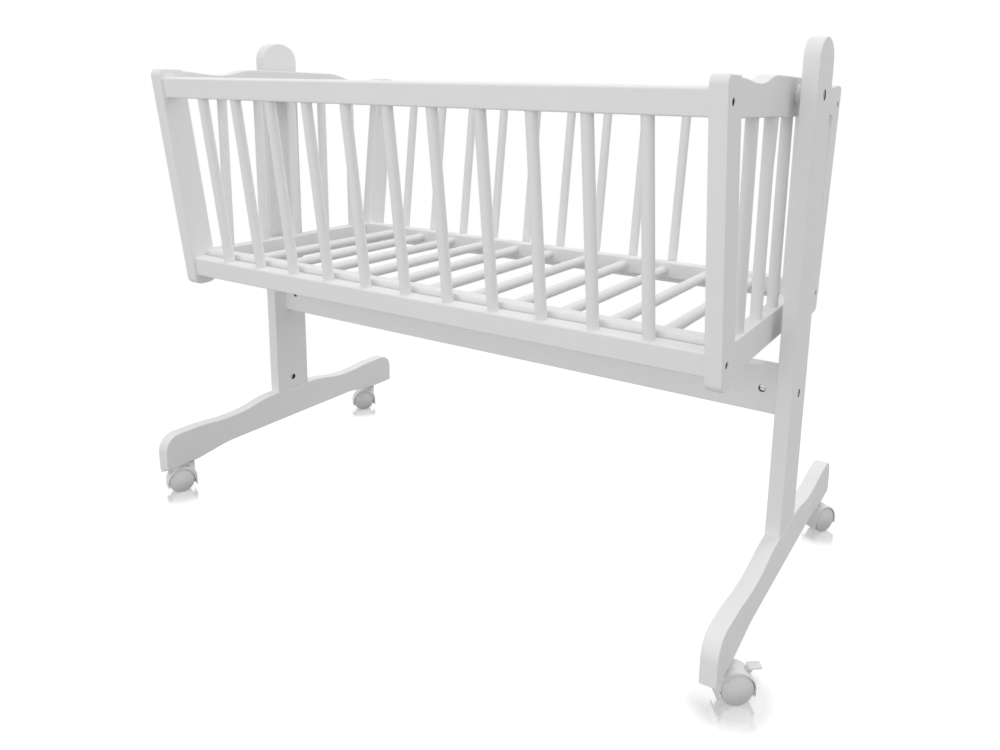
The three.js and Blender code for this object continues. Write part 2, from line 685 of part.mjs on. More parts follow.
// The two wheels and the axle that joins them, as one turned shape
function wheelPair() {
  const inner = webThick / 2 + wheelSideGap;
  const rim = inner + treadWide;
  const [reachShare, bulgeShare] = wheelFaceShares;
  const half = [
    [axleDiameter / 2, inner],
    [wheelRadius, inner],
    [wheelRadius, rim - rimRound],
    [wheelRadius - rimRound, rim],
    [wheelRadius * reachShare, rim + wheelBulge * bulgeShare],
    [0, rim + wheelBulge],
  ];
  const profile = [...half.map(([radius, y]) => [radius, -y]).reverse(), ...half];
  const points = profile.map(([radius, y]) => new THREE.Vector2(radius, y));
  const turned = new THREE.LatheGeometry(points, wheelSides);
  turned.rotateY(Math.PI / wheelSides);
  return solid(turned);
}

// One caster under a foot, swung by its own turn
function makeCaster({ name, x, y, turn, braked }) {
  const caster = new THREE.Group();
  caster.position.set(x * postMiddle, y * (footLength / 2 - casterInset), 0);
  caster.rotation.z = turn;
  place(caster, `${name}_caster_housing`, casterHousing(braked), whitePlastic());
  place(caster, `${name}_caster_wheels`, wheelPair(), whitePlastic())
    .position.set(casterTrail, 0, axleHeight);
  if (braked) place(caster, `${name}_brake_lever`, brakeLever(), whitePlastic());
  return caster;
}

const cradle = new THREE.Group();
cradle.add(makeStand(), makeBasket(), ...casters.map(makeCaster));

export default cradle;
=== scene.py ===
# %% [markdown]
# # A swinging cradle, dressed as it was photographed
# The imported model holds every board, dowel, bolt and castor of the cradle at its real size and place,
# but with plain faceted surfaces. This lesson keeps those places and makes the surfaces that the eye
# meets: boards with eased edges, round dowels, moulded castors and a satin white paint.

# %% The frame
import json
import math
from collections import namedtuple

import bmesh
import bpy
from mathutils import Matrix, Vector


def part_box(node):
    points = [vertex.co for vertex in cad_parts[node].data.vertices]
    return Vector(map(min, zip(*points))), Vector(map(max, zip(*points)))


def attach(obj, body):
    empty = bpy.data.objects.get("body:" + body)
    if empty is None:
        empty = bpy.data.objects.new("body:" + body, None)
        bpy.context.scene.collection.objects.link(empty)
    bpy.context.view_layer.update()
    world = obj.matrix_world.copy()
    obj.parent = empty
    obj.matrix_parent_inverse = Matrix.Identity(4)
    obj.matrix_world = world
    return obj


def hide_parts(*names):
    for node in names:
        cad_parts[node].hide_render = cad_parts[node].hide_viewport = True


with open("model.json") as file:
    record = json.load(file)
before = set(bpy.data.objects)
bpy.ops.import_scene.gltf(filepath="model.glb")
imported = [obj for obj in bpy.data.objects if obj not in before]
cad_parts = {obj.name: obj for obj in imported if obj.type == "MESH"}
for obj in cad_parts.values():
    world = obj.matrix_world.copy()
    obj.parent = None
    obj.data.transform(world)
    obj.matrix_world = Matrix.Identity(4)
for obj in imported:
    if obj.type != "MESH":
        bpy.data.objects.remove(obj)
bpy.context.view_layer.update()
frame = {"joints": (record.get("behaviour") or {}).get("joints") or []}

MM = 0.001
joints = {joint["name"]: joint for joint in frame["joints"]}
ends = (("left", -1), ("right", 1))
rows = (("front", -1), ("back", 1))

# %% [markdown]
# ## The camera first
# The camera stands where the photographer stood, a little above the cradle and to its right. The
# photograph is a crop whose optical centre lies above and right of the middle, and the lens shift says
# so. A shift moves the picture without turning the camera, so that upright posts stay upright.

# %% Camera
IMAGE_WIDE, IMAGE_HIGH = 1000, 750
OPTICAL_CENTRE = (560, 257)
FOCAL_PIXELS = 808.0
SENSOR_WIDE = 36.0
CAMERA_PLACE = Vector((756.3, -1088.2, 720.2)) * MM
CAMERA_YAW, CAMERA_PITCH, CAMERA_ROLL = (math.radians(angle) for angle in (30.01, -11.25, 1.45))

camera = bpy.data.objects.new("camera", bpy.data.cameras.new("camera"))
camera.data.sensor_width = SENSOR_WIDE
camera.data.lens = FOCAL_PIXELS / IMAGE_WIDE * SENSOR_WIDE
camera.data.shift_x = (IMAGE_WIDE / 2 - OPTICAL_CENTRE[0]) / IMAGE_WIDE
camera.data.shift_y = (OPTICAL_CENTRE[1] - IMAGE_HIGH / 2) / IMAGE_WIDE
camera.location = CAMERA_PLACE
camera.rotation_euler = (Matrix.Rotation(CAMERA_YAW, 3, "Z")
                         @ Matrix.Rotation(math.pi / 2 + CAMERA_PITCH, 3, "X")
                         @ Matrix.Rotation(CAMERA_ROLL, 3, "Z")).to_euler()
bpy.context.scene.collection.objects.link(camera)
bpy.context.scene.camera = camera
print("lens", round(camera.data.lens, 1), "mm")

# %% [markdown]
# ## Writing shaders as sums
# A material is a net of nodes, which is tiresome to wire by hand. The class below wraps one output
# socket, so that `roughness = 0.4 + 0.1 * noise` adds the Math nodes by itself. Every other node comes
# from its `node` method: first the settings, then the values or links of its inputs.

# %% Shader sockets
class Socket:
    """An output of a shader node that can be used in sums."""

    def __init__(self, tree, output):
        self.tree, self.output = tree, output

    def node(self, kind, settings=None, inputs=None, output=0):
        """Adds a node: its type, its settings, then what its inputs hold or are linked to."""
        made = self.tree.nodes.new(kind)
        for key, value in (settings or {}).items():
            setattr(made, key, value)
        for key, value in (inputs or {}).items():
            if isinstance(value, Socket):
                self.tree.links.new(value.output, made.inputs[key])
            else:
                made.inputs[key].default_value = value
        return Socket(self.tree, made.outputs[output])

    def maths(self, operation, first, second):
        return self.node("ShaderNodeMath", {"operation": operation}, {0: first, 1: second})

    def __add__(self, other):
        return self.maths("ADD", self, other)

    def __mul__(self, other):
        return self.maths("MULTIPLY", self, other)

    __radd__ = __add__
    __rmul__ = __mul__


def make_material(name, surface):
    """A material whose surface is worked out from Object coordinates."""
    made = bpy.data.materials.new(name)
    made.use_nodes = True
    tree = made.node_tree
    tree.nodes.clear()
    place = Socket(tree, tree.nodes.new("ShaderNodeTexCoord").outputs["Object"])
    tree.links.new(surface(place).output, tree.nodes.new("ShaderNodeOutputMaterial").inputs["Surface"])
    return made


def noise(place, size, detail=2.0, stretch=(1, 1, 1)):
    """Smooth noise from 0 to 1 with patches of a size in metres, drawn out along an axis."""
    scaled = place.node("ShaderNodeMapping", {"vector_type": "POINT"},
                        {"Vector": place, "Scale": [1 / (size * pull) for pull in stretch]})
    return place.node("ShaderNodeTexNoise", {"noise_dimensions": "3D"},
                      {"Vector": scaled, "Scale": 1.0, "Detail": detail, "Roughness": 0.5})


def mix_colour(factor, first, second):
    """One colour fading into another."""
    return factor.node("ShaderNodeMix", {"data_type": "RGBA"},
                       {0: factor, 6: (*first, 1), 7: (*second, 1)}, output=2)

# %% [markdown]
# ## Satin white paint on wood
# The boards are sanded, primed and sprayed white. From a step away that is a plain white, but it isn't
# flat: the grain raises the paint a little along each board, the spray leaves a fine skin like orange
# peel, and the gloss drifts softly. The grain runs along the board, so each direction has its own
# material, made by one function. All three effects are kept far below what the eye reads as wear. The
# mirror part is low too, because a strong one washes out the boards that are seen at a flat angle.

# %% Paint
PAINT_LIGHT = (0.875, 0.875, 0.872)
PAINT_DEEP = (0.845, 0.846, 0.846)
GRAIN_SIZE, GRAIN_PULL = 1.6 * MM, 45
PEEL_SIZE = 1.1 * MM
DRIFT_SIZE = 70 * MM
PAINT_RELIEF, PAINT_RELIEF_SHARE = 0.05 * MM, 0.35
PAINT_ROUGHNESS, PAINT_MIRROR = 0.42, 0.04


def painted_wood(axis):
    def surface(place):
        stretch = [GRAIN_PULL if letter == axis else 1 for letter in "xyz"]
        grain = noise(place, GRAIN_SIZE, 3.0, stretch)
        peel = noise(place, PEEL_SIZE, 1.0)
        drift = noise(place, DRIFT_SIZE)
        relief = place.node("ShaderNodeBump", None, {
            "Strength": PAINT_RELIEF_SHARE, "Distance": PAINT_RELIEF, "Height": 0.7 * grain + 0.3 * peel})
        return place.node("ShaderNodeBsdfPrincipled", None, {
            "Base Color": mix_colour(0.6 * drift + 0.4 * grain, PAINT_LIGHT, PAINT_DEEP),
            "Roughness": PAINT_ROUGHNESS + 0.1 * drift + 0.05 * grain,
            "Specular IOR Level": PAINT_MIRROR, "Normal": relief})
    return make_material(f"painted_wood_{axis}", surface)


paint = {axis: painted_wood(axis) for axis in "xyz"}
print("paint:", ", ".join(finish.name for finish in paint.values()))

# %% [markdown]
# ## White plastic, zinc-plated steel and painted shade
# The castors and spacers are moulded in a white plastic that is a little glossier than the paint and
# has the faint orange peel of a mould. The bolts and cross nuts are zinc-plated: a cool grey metal
# whose gloss is broken up by small crystals. The inside of a drilled hole and the gap at a castor's
# neck lie in deep shade, so they share a nearly black finish with fine scratches: painted shade.

# %% Plastic, zinc and painted shade
PLASTIC_LIGHT = (0.87, 0.872, 0.872)
PLASTIC_DEEP = (0.84, 0.842, 0.845)
PLASTIC_SKIN, PLASTIC_DRIFT, PLASTIC_RELIEF = 0.8 * MM, 14 * MM, 0.02 * MM
PLASTIC_RELIEF_SHARE, PLASTIC_MIRROR = 0.25, 0.3
ZINC_LIGHT = (0.70, 0.71, 0.72)
ZINC_DEEP = (0.48, 0.49, 0.50)
ZINC_CRYSTAL, ZINC_ROUGHNESS = 0.7 * MM, 0.28
# Colours of the painted shade: nearly black, for deep holes and the castor's neck.
PAINTED_SHADE_LIGHT = (0.014, 0.014, 0.013)
PAINTED_SHADE_DEEP = (0.005, 0.005, 0.005)
PAINTED_SHADE_SCRATCH, PAINTED_SHADE_ROUGHNESS, PAINTED_SHADE_MIRROR = 0.5 * MM, 0.8, 0.1


# The shade factor makes darker copies of this one white plastic: painted shade.
def white_plastic(name, roughness, shade=1.0):
    light, deep = (tuple(shade * part for part in colour) for colour in (PLASTIC_LIGHT, PLASTIC_DEEP))

    def surface(place):
        skin = noise(place, PLASTIC_SKIN)
        drift = noise(place, PLASTIC_DRIFT)
        relief = place.node("ShaderNodeBump", None, {
            "Strength": PLASTIC_RELIEF_SHARE, "Distance": PLASTIC_RELIEF, "Height": skin})
        return place.node("ShaderNodeBsdfPrincipled", None, {
            "Base Color": mix_colour(drift, light, deep), "Roughness": roughness + 0.08 * drift,
            "Specular IOR Level": PLASTIC_MIRROR, "Normal": relief})
    return make_material(name, surface)


def zinc_steel(place):
    crystals = noise(place, ZINC_CRYSTAL, 3.0)
    return place.node("ShaderNodeBsdfPrincipled", None, {
        "Base Color": mix_colour(crystals, ZINC_LIGHT, ZINC_DEEP),
        "Metallic": 1.0, "Roughness": ZINC_ROUGHNESS + 0.25 * crystals})


# Painted shade: a nearly black finish that stands in for the shade in holes and at the castor's neck.
def dark_bore(place):
    scratches = noise(place, PAINTED_SHADE_SCRATCH)
    return place.node("ShaderNodeBsdfPrincipled", None, {
        "Base Color": mix_colour(scratches, PAINTED_SHADE_LIGHT, PAINTED_SHADE_DEEP),
        "Roughness": PAINTED_SHADE_ROUGHNESS + 0.2 * scratches, "Specular IOR Level": PAINTED_SHADE_MIRROR})


# The hood and wheels are slightly darker copies of the spacer's white plastic: painted shade for the
# castors.
hood_plastic = white_plastic("hood_plastic", 0.30, shade=0.95)
wheel_plastic = white_plastic("wheel_plastic", 0.34, shade=0.93)
spacer_plastic = white_plastic("spacer_plastic", 0.48)
zinc = make_material("zinc_steel", zinc_steel)
# This nearly black finish is painted shade for holes and the castor's neck.
painted_shade = make_material("dark_bore", dark_bore)
print("finishes:", len(bpy.data.materials))

# %% [markdown]
# ## Solids from rings
# Almost every piece of the cradle is a stack of rings: a board is its outline, drawn in a little at
# both faces, and a bolt is a stack of circles. One function closes such a stack into a solid with a
# flat face at both ends, and turns all faces outwards.

# %% Rings
SHARP_ANGLE = math.radians(38)


def face_outwards(mesh):
    """Turns all faces of a closed mesh outwards."""
    shape = bmesh.new()
    shape.from_mesh(mesh)
    bmesh.ops.recalc_face_normals(shape, faces=shape.faces)
    shape.to_mesh(mesh)
    shape.free()


def add_object(name, data):
    made = bpy.data.objects.new(name, data)
    bpy.context.scene.collection.objects.link(made)
    return made


def solid(name, rings):
    """A closed solid from rings that all have as many points, with a flat face at both ends."""
    count = len(rings[0])
    mesh = bpy.data.meshes.new(name)
    faces = [tuple(range(count)), tuple(range(len(rings) * count - count, len(rings) * count))]
    for base in range(0, (len(rings) - 1) * count, count):
        for index in range(count):
            after = (index + 1) % count
            faces.append((base + index, base + after, base + count + after, base + count + index))
    mesh.from_pydata([tuple(point) for ring in rings for point in ring], [], faces)
    face_outwards(mesh)
    return add_object(name, mesh)


def bake(piece):
    """Makes what the modifiers show the piece's own mesh."""
    bpy.context.view_layer.update()
    shown = bpy.data.meshes.new_from_object(piece.evaluated_get(bpy.context.evaluated_depsgraph_get()))
    piece.modifiers.clear()
    piece.data = shown
    return piece


def combine(piece, operation, tools):
    """Joins or cuts a piece with other solids, which are used up."""
    for tool in tools:
        step = piece.modifiers.new(operation.lower(), "BOOLEAN")
        step.operation, step.solver, step.object = operation, "EXACT", tool
        bake(piece)
        bpy.data.objects.remove(tool)
    return piece


def finish_piece(piece, body, nodes, material, bevel=0.0):
    """Smooths a finished mesh, gives it its paint, and hands it to the frame."""
    if bevel:
        step = piece.modifiers.new("bevel", "BEVEL")
        step.width, step.segments, step.limit_method, step.angle_limit = bevel, 2, "ANGLE", SHARP_ANGLE
        bake(piece)
    piece.data.materials.clear()
    piece.data.materials.append(material)
    piece.data.shade_smooth()
    piece.data.set_sharp_from_angle(angle=SHARP_ANGLE)
    piece.modifiers.new("flat faces stay flat", "WEIGHTED_NORMAL").keep_sharp = True
    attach(piece, body)
    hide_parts(*nodes)
    return piece


def paint_piece(piece, body, nodes, grain):
    """Finishes a piece of wood, with the grain along an axis."""
    return finish_piece(piece, body, nodes, paint[grain])

# %% [markdown]
# ## Boards with eased edges
# A board is cut to its outline and then every edge is rounded over a little, so that it is kind to
# hands and catches a thin line of light. Here the outline lies across X. Near both faces the rings
# are drawn inwards along a quarter circle, which is just what the router bit does.

# %% Boards
EASE = 1.7 * MM
CORNER_ROUND = 2.2 * MM
EASE_STEPS = 4
ARC_STEPS = 10
WAVE_STEPS = 18


def inset(outline, distance):
    """An anticlockwise outline moved inwards, each corner along its mitre."""
    count = len(outline)
    ways = [(outline[(index + 1) % count] - outline[index]).normalized() for index in range(count)]
    normals = [Vector((-way.y, way.x)) for way in ways]
    moved = []
    for index, point in enumerate(outline):
        before, after = normals[index - 1], normals[index]
        moved.append(point + (before + after) / (1 + before.dot(after)) * distance)
    return moved


def board(name, outline, low, high, ease=EASE):
    """A board between two places along X, with its edges eased."""
    turns = [math.pi / 2 * step / EASE_STEPS for step in range(EASE_STEPS + 1)]
    half = [(ease * (1 - math.cos(turn)), ease * (1 - math.sin(turn))) for turn in turns]
    low, high = sorted((low, high))
    slices = [(low + deep, drawn) for deep, drawn in half]
    slices += [(high - deep, drawn) for deep, drawn in reversed(half)]
    return solid(name, [[(x, *point) for point in inset(outline, drawn)] for x, drawn in slices])


def arc(centre, reach, start, end, steps=ARC_STEPS):
    """Points on part of a circle or ellipse, from one angle to another."""
    angles = [start + (end - start) * step / steps for step in range(steps + 1)]
    return [Vector((centre[0] + reach[0] * math.cos(angle), centre[1] + reach[1] * math.sin(angle)))
            for angle in angles]


def rounded(corners):
    """An anticlockwise outline whose corners (across, up, radius) are rounded."""
    outline = []
    for index, (across, up, radius) in enumerate(corners):
        here = Vector((across, up))
        before = (Vector(corners[index - 1][:2]) - here).normalized()
        after = (Vector(corners[(index + 1) % len(corners)][:2]) - here).normalized()
        half = before.angle(after) / 2
        if radius == 0:
            outline.append(here)
            continue
        centre = here + (before + after).normalized() * radius / math.sin(half)
        first, last = (here + way * radius / math.tan(half) - centre for way in (before, after))
        turn = -first.angle_signed(last)
        outline += [centre + Matrix.Rotation(turn * step / ARC_STEPS, 2) @ first
                    for step in range(ARC_STEPS + 1)]
    return outline


def rectangle(low, high, radius):
    """A rectangle between two corners (across, up), with all four rounded."""
    return rounded([(low[0], low[1], radius), (high[0], low[1], radius),
                    (high[0], high[1], radius), (low[0], high[1], radius)])


def wave(stations):
    """Points of a line that runs level through each station and eases from one to the next."""
    points = [Vector(stations[0])]
    for start, end in zip(stations, stations[1:]):
        half = (start[0] + end[0]) / 2
        for step in range(1, WAVE_STEPS + 1):
            gone = step / WAVE_STEPS
            left, ease = 1 - gone, gone * gone * (3 - 2 * gone)
            points.append(Vector((left**3 * start[0] + 3 * left * gone * half + gone**3 * end[0],
                                  start[1] + (end[1] - start[1]) * ease)))
    return points


def mirrored(half):
    """A whole outline from the half on one side of the middle."""
    return half + [Vector((-point.x, point.y)) for point in reversed(half)]

# %% [markdown]
# ## Turned pieces and drilled holes
# Bolts, nuts, spacers, wheels and drill bits are all turned shapes: circles of changing radius along
# an axis. A ring may also be a hexagon, for the socket in a bolt's head. A drilled hole gets a narrow
# countersink, because a clean edge in paint always shows a thin bright rim. A hole is noted once, with
# its diameter and depth, where its nearly black lining of painted shade starts, and the shaft that goes
# on through its floor.

# %% Turned pieces
ROUND_SIDES = 48
OVERRUN = 4 * MM
RIM = 0.35 * MM
# The thickness of the nearly black linings that paint the shade inside holes.
SHADE_LINER = 0.15 * MM
# Each hole notes how deep below its mouth its painted shade starts.
Hole = namedtuple("Hole", "diameter deep dark_from shaft")


def turned(name, origin, axis, profile, sides=ROUND_SIDES):
    """A turned solid: (distance along the axis, radius) pairs, with a third value for a ring's flats."""
    axis = Vector(axis).normalized()
    across = axis.orthogonal().normalized()
    up = axis.cross(across)
    rings = []
    for along, radius, *flats in profile:
        sector = math.tau / flats[0] if flats else math.tau
        ring = []
        for index in range(sides):
            angle = math.tau * index / sides
            reach = radius / math.cos(angle % sector - sector / 2) if flats else radius
            ring.append(Vector(origin) + axis * along
                        + (across * math.cos(angle) + up * math.sin(angle)) * reach)
        rings.append(ring)
    return solid(name, rings)


def drill(face, way, hole):
    """A drill bit that has just gone in at a face, with its countersink."""
    radius = hole.diameter / 2
    return turned("drill", face, way,
                  [(-OVERRUN, radius + RIM), (0, radius + RIM), (RIM, radius), (hole.deep, radius)])


def block(name, low, high):
    """A plain box between two corners."""
    x0, y0, z0 = low
    x1, y1, z1 = high
    return solid(name, [[(x0, y0, z), (x1, y0, z), (x1, y1, z), (x0, y1, z)] for z in (z0, z1)])

# %% [markdown]
# ## The stand
# Two upright boards stand on two shaped feet, and one long board low down ties them together. The
# sizes of the boards come from the frame. Only what a box can't say is given here: the rise of the
# round top, the wave of the foot and the places of the bolts.

# %% Stand
POST_TOP_RISE = 30 * MM
FOOT_PAD_LONG, FOOT_RAMP_LONG, FOOT_ARCH_RISE = 62 * MM, 65 * MM, 9.5 * MM
FOOT_END_ROUND, FOOT_ARCH_ROUND, FOOT_PAD_ROUND = 28 * MM, 150 * MM, 60 * MM
FOOT_SHOULDER_HIGH, FOOT_SHOULDER_LONG = 61 * MM, 55 * MM
FOOT_DIP_HIGH, FOOT_DIP_REACH = 56.5 * MM, 150 * MM
SEAT_SPARE = 2 * MM
FOOT_NUT_RISE = 23 * MM
NUT_SETBACK = 26.9 * MM
STRETCHER_END_EASE = 0.3 * MM
BOLT, BOLT_HEAD, BOLT_HEAD_LONG = 6 * MM, 11 * MM, 5.5 * MM
PIVOT_BOLT, PIVOT_HEAD, PIVOT_HEAD_LONG = 8 * MM, 13 * MM, 6 * MM
NUT, NUT_LONG = 10 * MM, 14 * MM
HEAD_RECESS = 1.2 * MM
HEAD_SPARE, NUT_SPARE = 1.0 * MM, 0.7 * MM
CORNER_HEAD, CORNER_RECESS = 8.6 * MM, 3 * MM
PIVOT_HOLE = Hole(PIVOT_HEAD + HEAD_SPARE, HEAD_RECESS + PIVOT_HEAD_LONG + 2 * SHADE_LINER, RIM, PIVOT_BOLT)
BOLT_HOLE = Hole(BOLT_HEAD + HEAD_SPARE, HEAD_RECESS + BOLT_HEAD_LONG + 2 * SHADE_LINER, RIM, BOLT)
CORNER_HOLE = Hole(CORNER_HEAD + HEAD_SPARE, CORNER_RECESS + BOLT_HEAD_LONG + 2 * SHADE_LINER,
                   CORNER_RECESS / 2, BOLT)

post_low, post_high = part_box("right_post")
foot_low, foot_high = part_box("right_foot")
stretcher_low, stretcher_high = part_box("stretcher")
pivot_high = joints["basket_swing"]["pos_m"][2]
stretcher_middle = (stretcher_low.z + stretcher_high.z) / 2
post_middle = (post_low.x + post_high.x) / 2
foot_nut_high = foot_high.z + FOOT_NUT_RISE
post_nut_hole, stretcher_nut_hole = (
    Hole(NUT + NUT_SPARE, (thick + NUT_LONG) / 2, RIM, 0)
    for thick in (post_high.x - post_low.x, stretcher_high.y - stretcher_low.y))


def post_outline():
    half, spring = post_high.y, post_high.z - POST_TOP_RISE
    return ([Vector((-half, post_low.z)), Vector((half, post_low.z))]
            + arc((0, spring), (half, POST_TOP_RISE), 0, math.pi, 4 * ARC_STEPS))


def foot_outline():
    half, pad = foot_high.y, foot_low.z
    shoulder = pad + FOOT_SHOULDER_HIGH
    inner = half - FOOT_PAD_LONG
    arch = pad + FOOT_ARCH_RISE
    below = rounded([(0, arch, 0), (inner - FOOT_RAMP_LONG, arch, FOOT_ARCH_ROUND),
                     (inner, pad, FOOT_PAD_ROUND), (half, pad, CORNER_ROUND),
                     (half, shoulder, FOOT_END_ROUND), (inner, shoulder, 0)])[1:-1]
    above = wave([(half - FOOT_SHOULDER_LONG, shoulder), (FOOT_DIP_REACH, pad + FOOT_DIP_HIGH),
                  (post_high.y + SEAT_SPARE, foot_high.z)])
    return mirrored(below + above)


for name, side in ends:
    outer, inner = side * post_high.x, side * post_low.x
    post = board(f"{name}_post_board", post_outline(), inner, outer)
    combine(post, "DIFFERENCE", [
        drill((outer, 0, pivot_high), (-side, 0, 0), PIVOT_HOLE),
        drill((outer, 0, stretcher_middle), (-side, 0, 0), BOLT_HOLE),
        drill((inner, 0, foot_nut_high), (side, 0, 0), post_nut_hole)])
    paint_piece(post, "stand", [f"{name}_post"], "z")
    foot = board(f"{name}_foot_board", foot_outline(), inner, outer)
    paint_piece(foot, "stand", [f"{name}_foot"], "y")

stretcher_board = board("stretcher_board", rectangle(stretcher_low.yz, stretcher_high.yz, CORNER_ROUND),
                        stretcher_low.x, stretcher_high.x, ease=STRETCHER_END_EASE)
nut_reach = stretcher_high.x - NUT_SETBACK
combine(stretcher_board, "DIFFERENCE", [
    drill((side * nut_reach, stretcher_low.y, stretcher_middle), (0, 1, 0), stretcher_nut_hole)
    for _, side in ends])
paint_piece(stretcher_board, "stand", ["stretcher"], "x")
print("stand: two posts, two feet and a stretcher")

# %% [markdown]
# ## The basket's corner posts and end boards
# The basket's ends are frames: two leaning corner posts, a waved rail above and a straight one below.
# They are glued flush and painted over, so that the rails run on into the posts and only the posts'
# own eased edge marks the joint.

# %% Basket ends
LEAN = math.radians(7.03)
CORNER_POST_WIDE, CORNER_HALF_SPAN = 45 * MM, 231.1 * MM
CORNER_TOP_ROUND, CORNER_BACK_ROUND = 10 * MM, 6 * MM
CORNER_FOOT_ROUND, CORNER_INNER_ROUND = 13 * MM, 18 * MM
RAIL_RECESS, RAIL_THICK = 5.75 * MM, 22 * MM
WAVE_SHOULDER, WAVE_DIP, WAVE_CREST = 15 * MM, 11 * MM, 22.5 * MM
WAVE_DIP_REACH, WAVE_CREST_REACH = 165 * MM, 85 * MM
GLUED = 3 * MM

corner_low, corner_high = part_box("back_right_corner_post")
top_rail_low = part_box("right_end_top_rail")[0].z
bottom_rail_low, bottom_rail_high = (corner.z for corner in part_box("right_end_bottom_rail"))
bolt_heights = {level: sum(corner.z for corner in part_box(f"back_right_{level}_corner_bolt")) / 2
                for level in ("top", "bottom")}


def corner_edge(z):
    """How far out the corner posts' outer edge is at a height."""
    return CORNER_HALF_SPAN + (z - corner_low.z) * math.tan(LEAN)


def rail_middle(z):
    """How far out the middle of a side rail is at a height."""
    return corner_edge(z) - RAIL_RECESS - RAIL_THICK / 2 / math.cos(LEAN)


def corner_outline(row):
    low, high = corner_edge(corner_low.z), corner_edge(corner_high.z)
    corners = [(low - CORNER_POST_WIDE, corner_low.z, CORNER_INNER_ROUND),
               (low, corner_low.z, CORNER_FOOT_ROUND), (high, corner_high.z, CORNER_TOP_ROUND),
               (high - CORNER_POST_WIDE, corner_high.z, CORNER_BACK_ROUND)]
    return rounded([(row * across, up, radius) for across, up, radius in corners[::row]])


def end_reach(z):
    """How far an end rail reaches into the corner posts at a height."""
    return corner_edge(z) - CORNER_POST_WIDE + GLUED


def top_rail_outline():
    shoulder = pivot_high + WAVE_SHOULDER
    above = wave([(end_reach(shoulder), shoulder), (WAVE_DIP_REACH, pivot_high + WAVE_DIP),
                  (WAVE_CREST_REACH, pivot_high + WAVE_CREST)])
    return mirrored([Vector((end_reach(top_rail_low), top_rail_low))] + above)


def bottom_rail_outline():
    return mirrored([Vector((end_reach(z), z)) for z in (bottom_rail_low, bottom_rail_high)])


for name, side in ends:
    inner, outer = side * corner_low.x, side * corner_high.x
    for row_name, row in rows:
        post = board(f"{row_name}_{name}_corner_board", corner_outline(row), inner, outer)
        combine(post, "DIFFERENCE", [drill((outer, row * rail_middle(z), z), (-side, 0, 0), CORNER_HOLE)
                                     for z in bolt_heights.values()])
        paint_piece(post, "basket", [f"{row_name}_{name}_corner_post"], "z")
    for level, outline in (("top", top_rail_outline()), ("bottom", bottom_rail_outline())):
        rail = board(f"{name}_end_{level}_board", outline, inner, outer)
        paint_piece(rail, "basket", [f"{name}_end_{level}_rail"], "y")
print("basket ends:", round((corner_edge(corner_high.z) - CORNER_HALF_SPAN) / MM), "mm wider at the top")

# %% [markdown]
# ## Side rails and the base
# The long rails lean with the corner posts and stand back from their front edge. The base is a small
# ladder that lies inside the lower rails: two square rails with round slats between them.

# %% Side rails and base rails
RAIL_HIGH = 31.5 * MM
RAIL_ROUND = 2.6 * MM
RAIL_END_EASE = 0.2 * MM

base_low, base_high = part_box("base_front_rail")
rail_end = corner_low.x


def side_rail(name, row, height, node):
    """A long rail: its section is turned by the lean, then drawn out along X."""
    middle = Vector((row * rail_middle(height), height))
    corner = Vector((RAIL_THICK, RAIL_HIGH)) / 2
    section = rectangle(-corner, corner, RAIL_ROUND)
    outline = [middle + Matrix.Rotation(-row * LEAN, 2) @ point for point in section]
    made = board(name, outline, -rail_end, rail_end, ease=RAIL_END_EASE)
    return paint_piece(made, "basket", [node], "x")


for row_name, row in rows:
    side_rail(f"{row_name}_top_rail_board", row, bolt_heights["top"], f"{row_name}_top_rail")
    side_rail(f"{row_name}_bottom_rail_board", row, bolt_heights["bottom"],
              f"{row_name}_bottom_rail_with_spindles")

base_nodes = {-1: "base_front_rail", 1: "base_back_rail_with_slats"}
base_outer, base_inner = -base_low.y, -base_high.y
for row_name, row in rows:
    near, far = sorted((row * base_inner, row * base_outer))
    section = rectangle((near, base_low.z), (far, base_high.z), CORNER_ROUND)
    made = board(f"base_{row_name}_board", section, -rail_end, rail_end, ease=RAIL_END_EASE)
    paint_piece(made, "basket", [base_nodes[row]], "x")
print("rails:", round(2 * rail_end / MM), "mm long")

# %% [markdown]
# ## Rows of dowels with Geometry Nodes
# Spindles and slats are all the same thing, a row of round dowels, and only their number, length and
# direction differ. So one Geometry Nodes tree makes a row: a straight curve becomes a round bar, and
# the bar is set on the points of a line. Changing an input changes the whole row.

# %% The dowel tree
DOWEL = 16 * MM
DOWEL_SIDES = 40
DOWEL_INPUTS = {"Count": "Int", "First": "Vector", "Step": "Vector", "Reach": "Vector",
                "Radius": "Float", "Sides": "Int", "Finish": "Material"}


def node_group(name, inputs):
    """A Geometry Nodes tree with its named inputs, and a function that adds a node to it."""
    tree = bpy.data.node_groups.new(name, "GeometryNodeTree")
    tree.interface.new_socket("Geometry", in_out="INPUT", socket_type="NodeSocketGeometry")
    for label, kind in inputs.items():
        tree.interface.new_socket(label, in_out="INPUT", socket_type=f"NodeSocket{kind}")
    tree.interface.new_socket("Geometry", in_out="OUTPUT", socket_type="NodeSocketGeometry")

    def add(kind, settings=None, **links):
        made = tree.nodes.new(kind)
        for key, value in (settings or {}).items():
            setattr(made, key, value)
        for key, value in links.items():
            socket = made.inputs[key.replace("_", " ")]
            if isinstance(value, bpy.types.NodeSocket):
                tree.links.new(value, socket)
            else:
                socket.default_value = value
        return made
    return tree, add, add("NodeGroupInput").outputs


def finish_tree(add, copies, finish):
    """Makes the copies real, paints them and sends them out of the tree."""
    real = add("GeometryNodeRealizeInstances", Geometry=copies.outputs["Instances"])
    painted = add("GeometryNodeSetMaterial", Geometry=real.outputs["Geometry"], Material=finish)
    add("NodeGroupOutput", Geometry=painted.outputs["Geometry"])


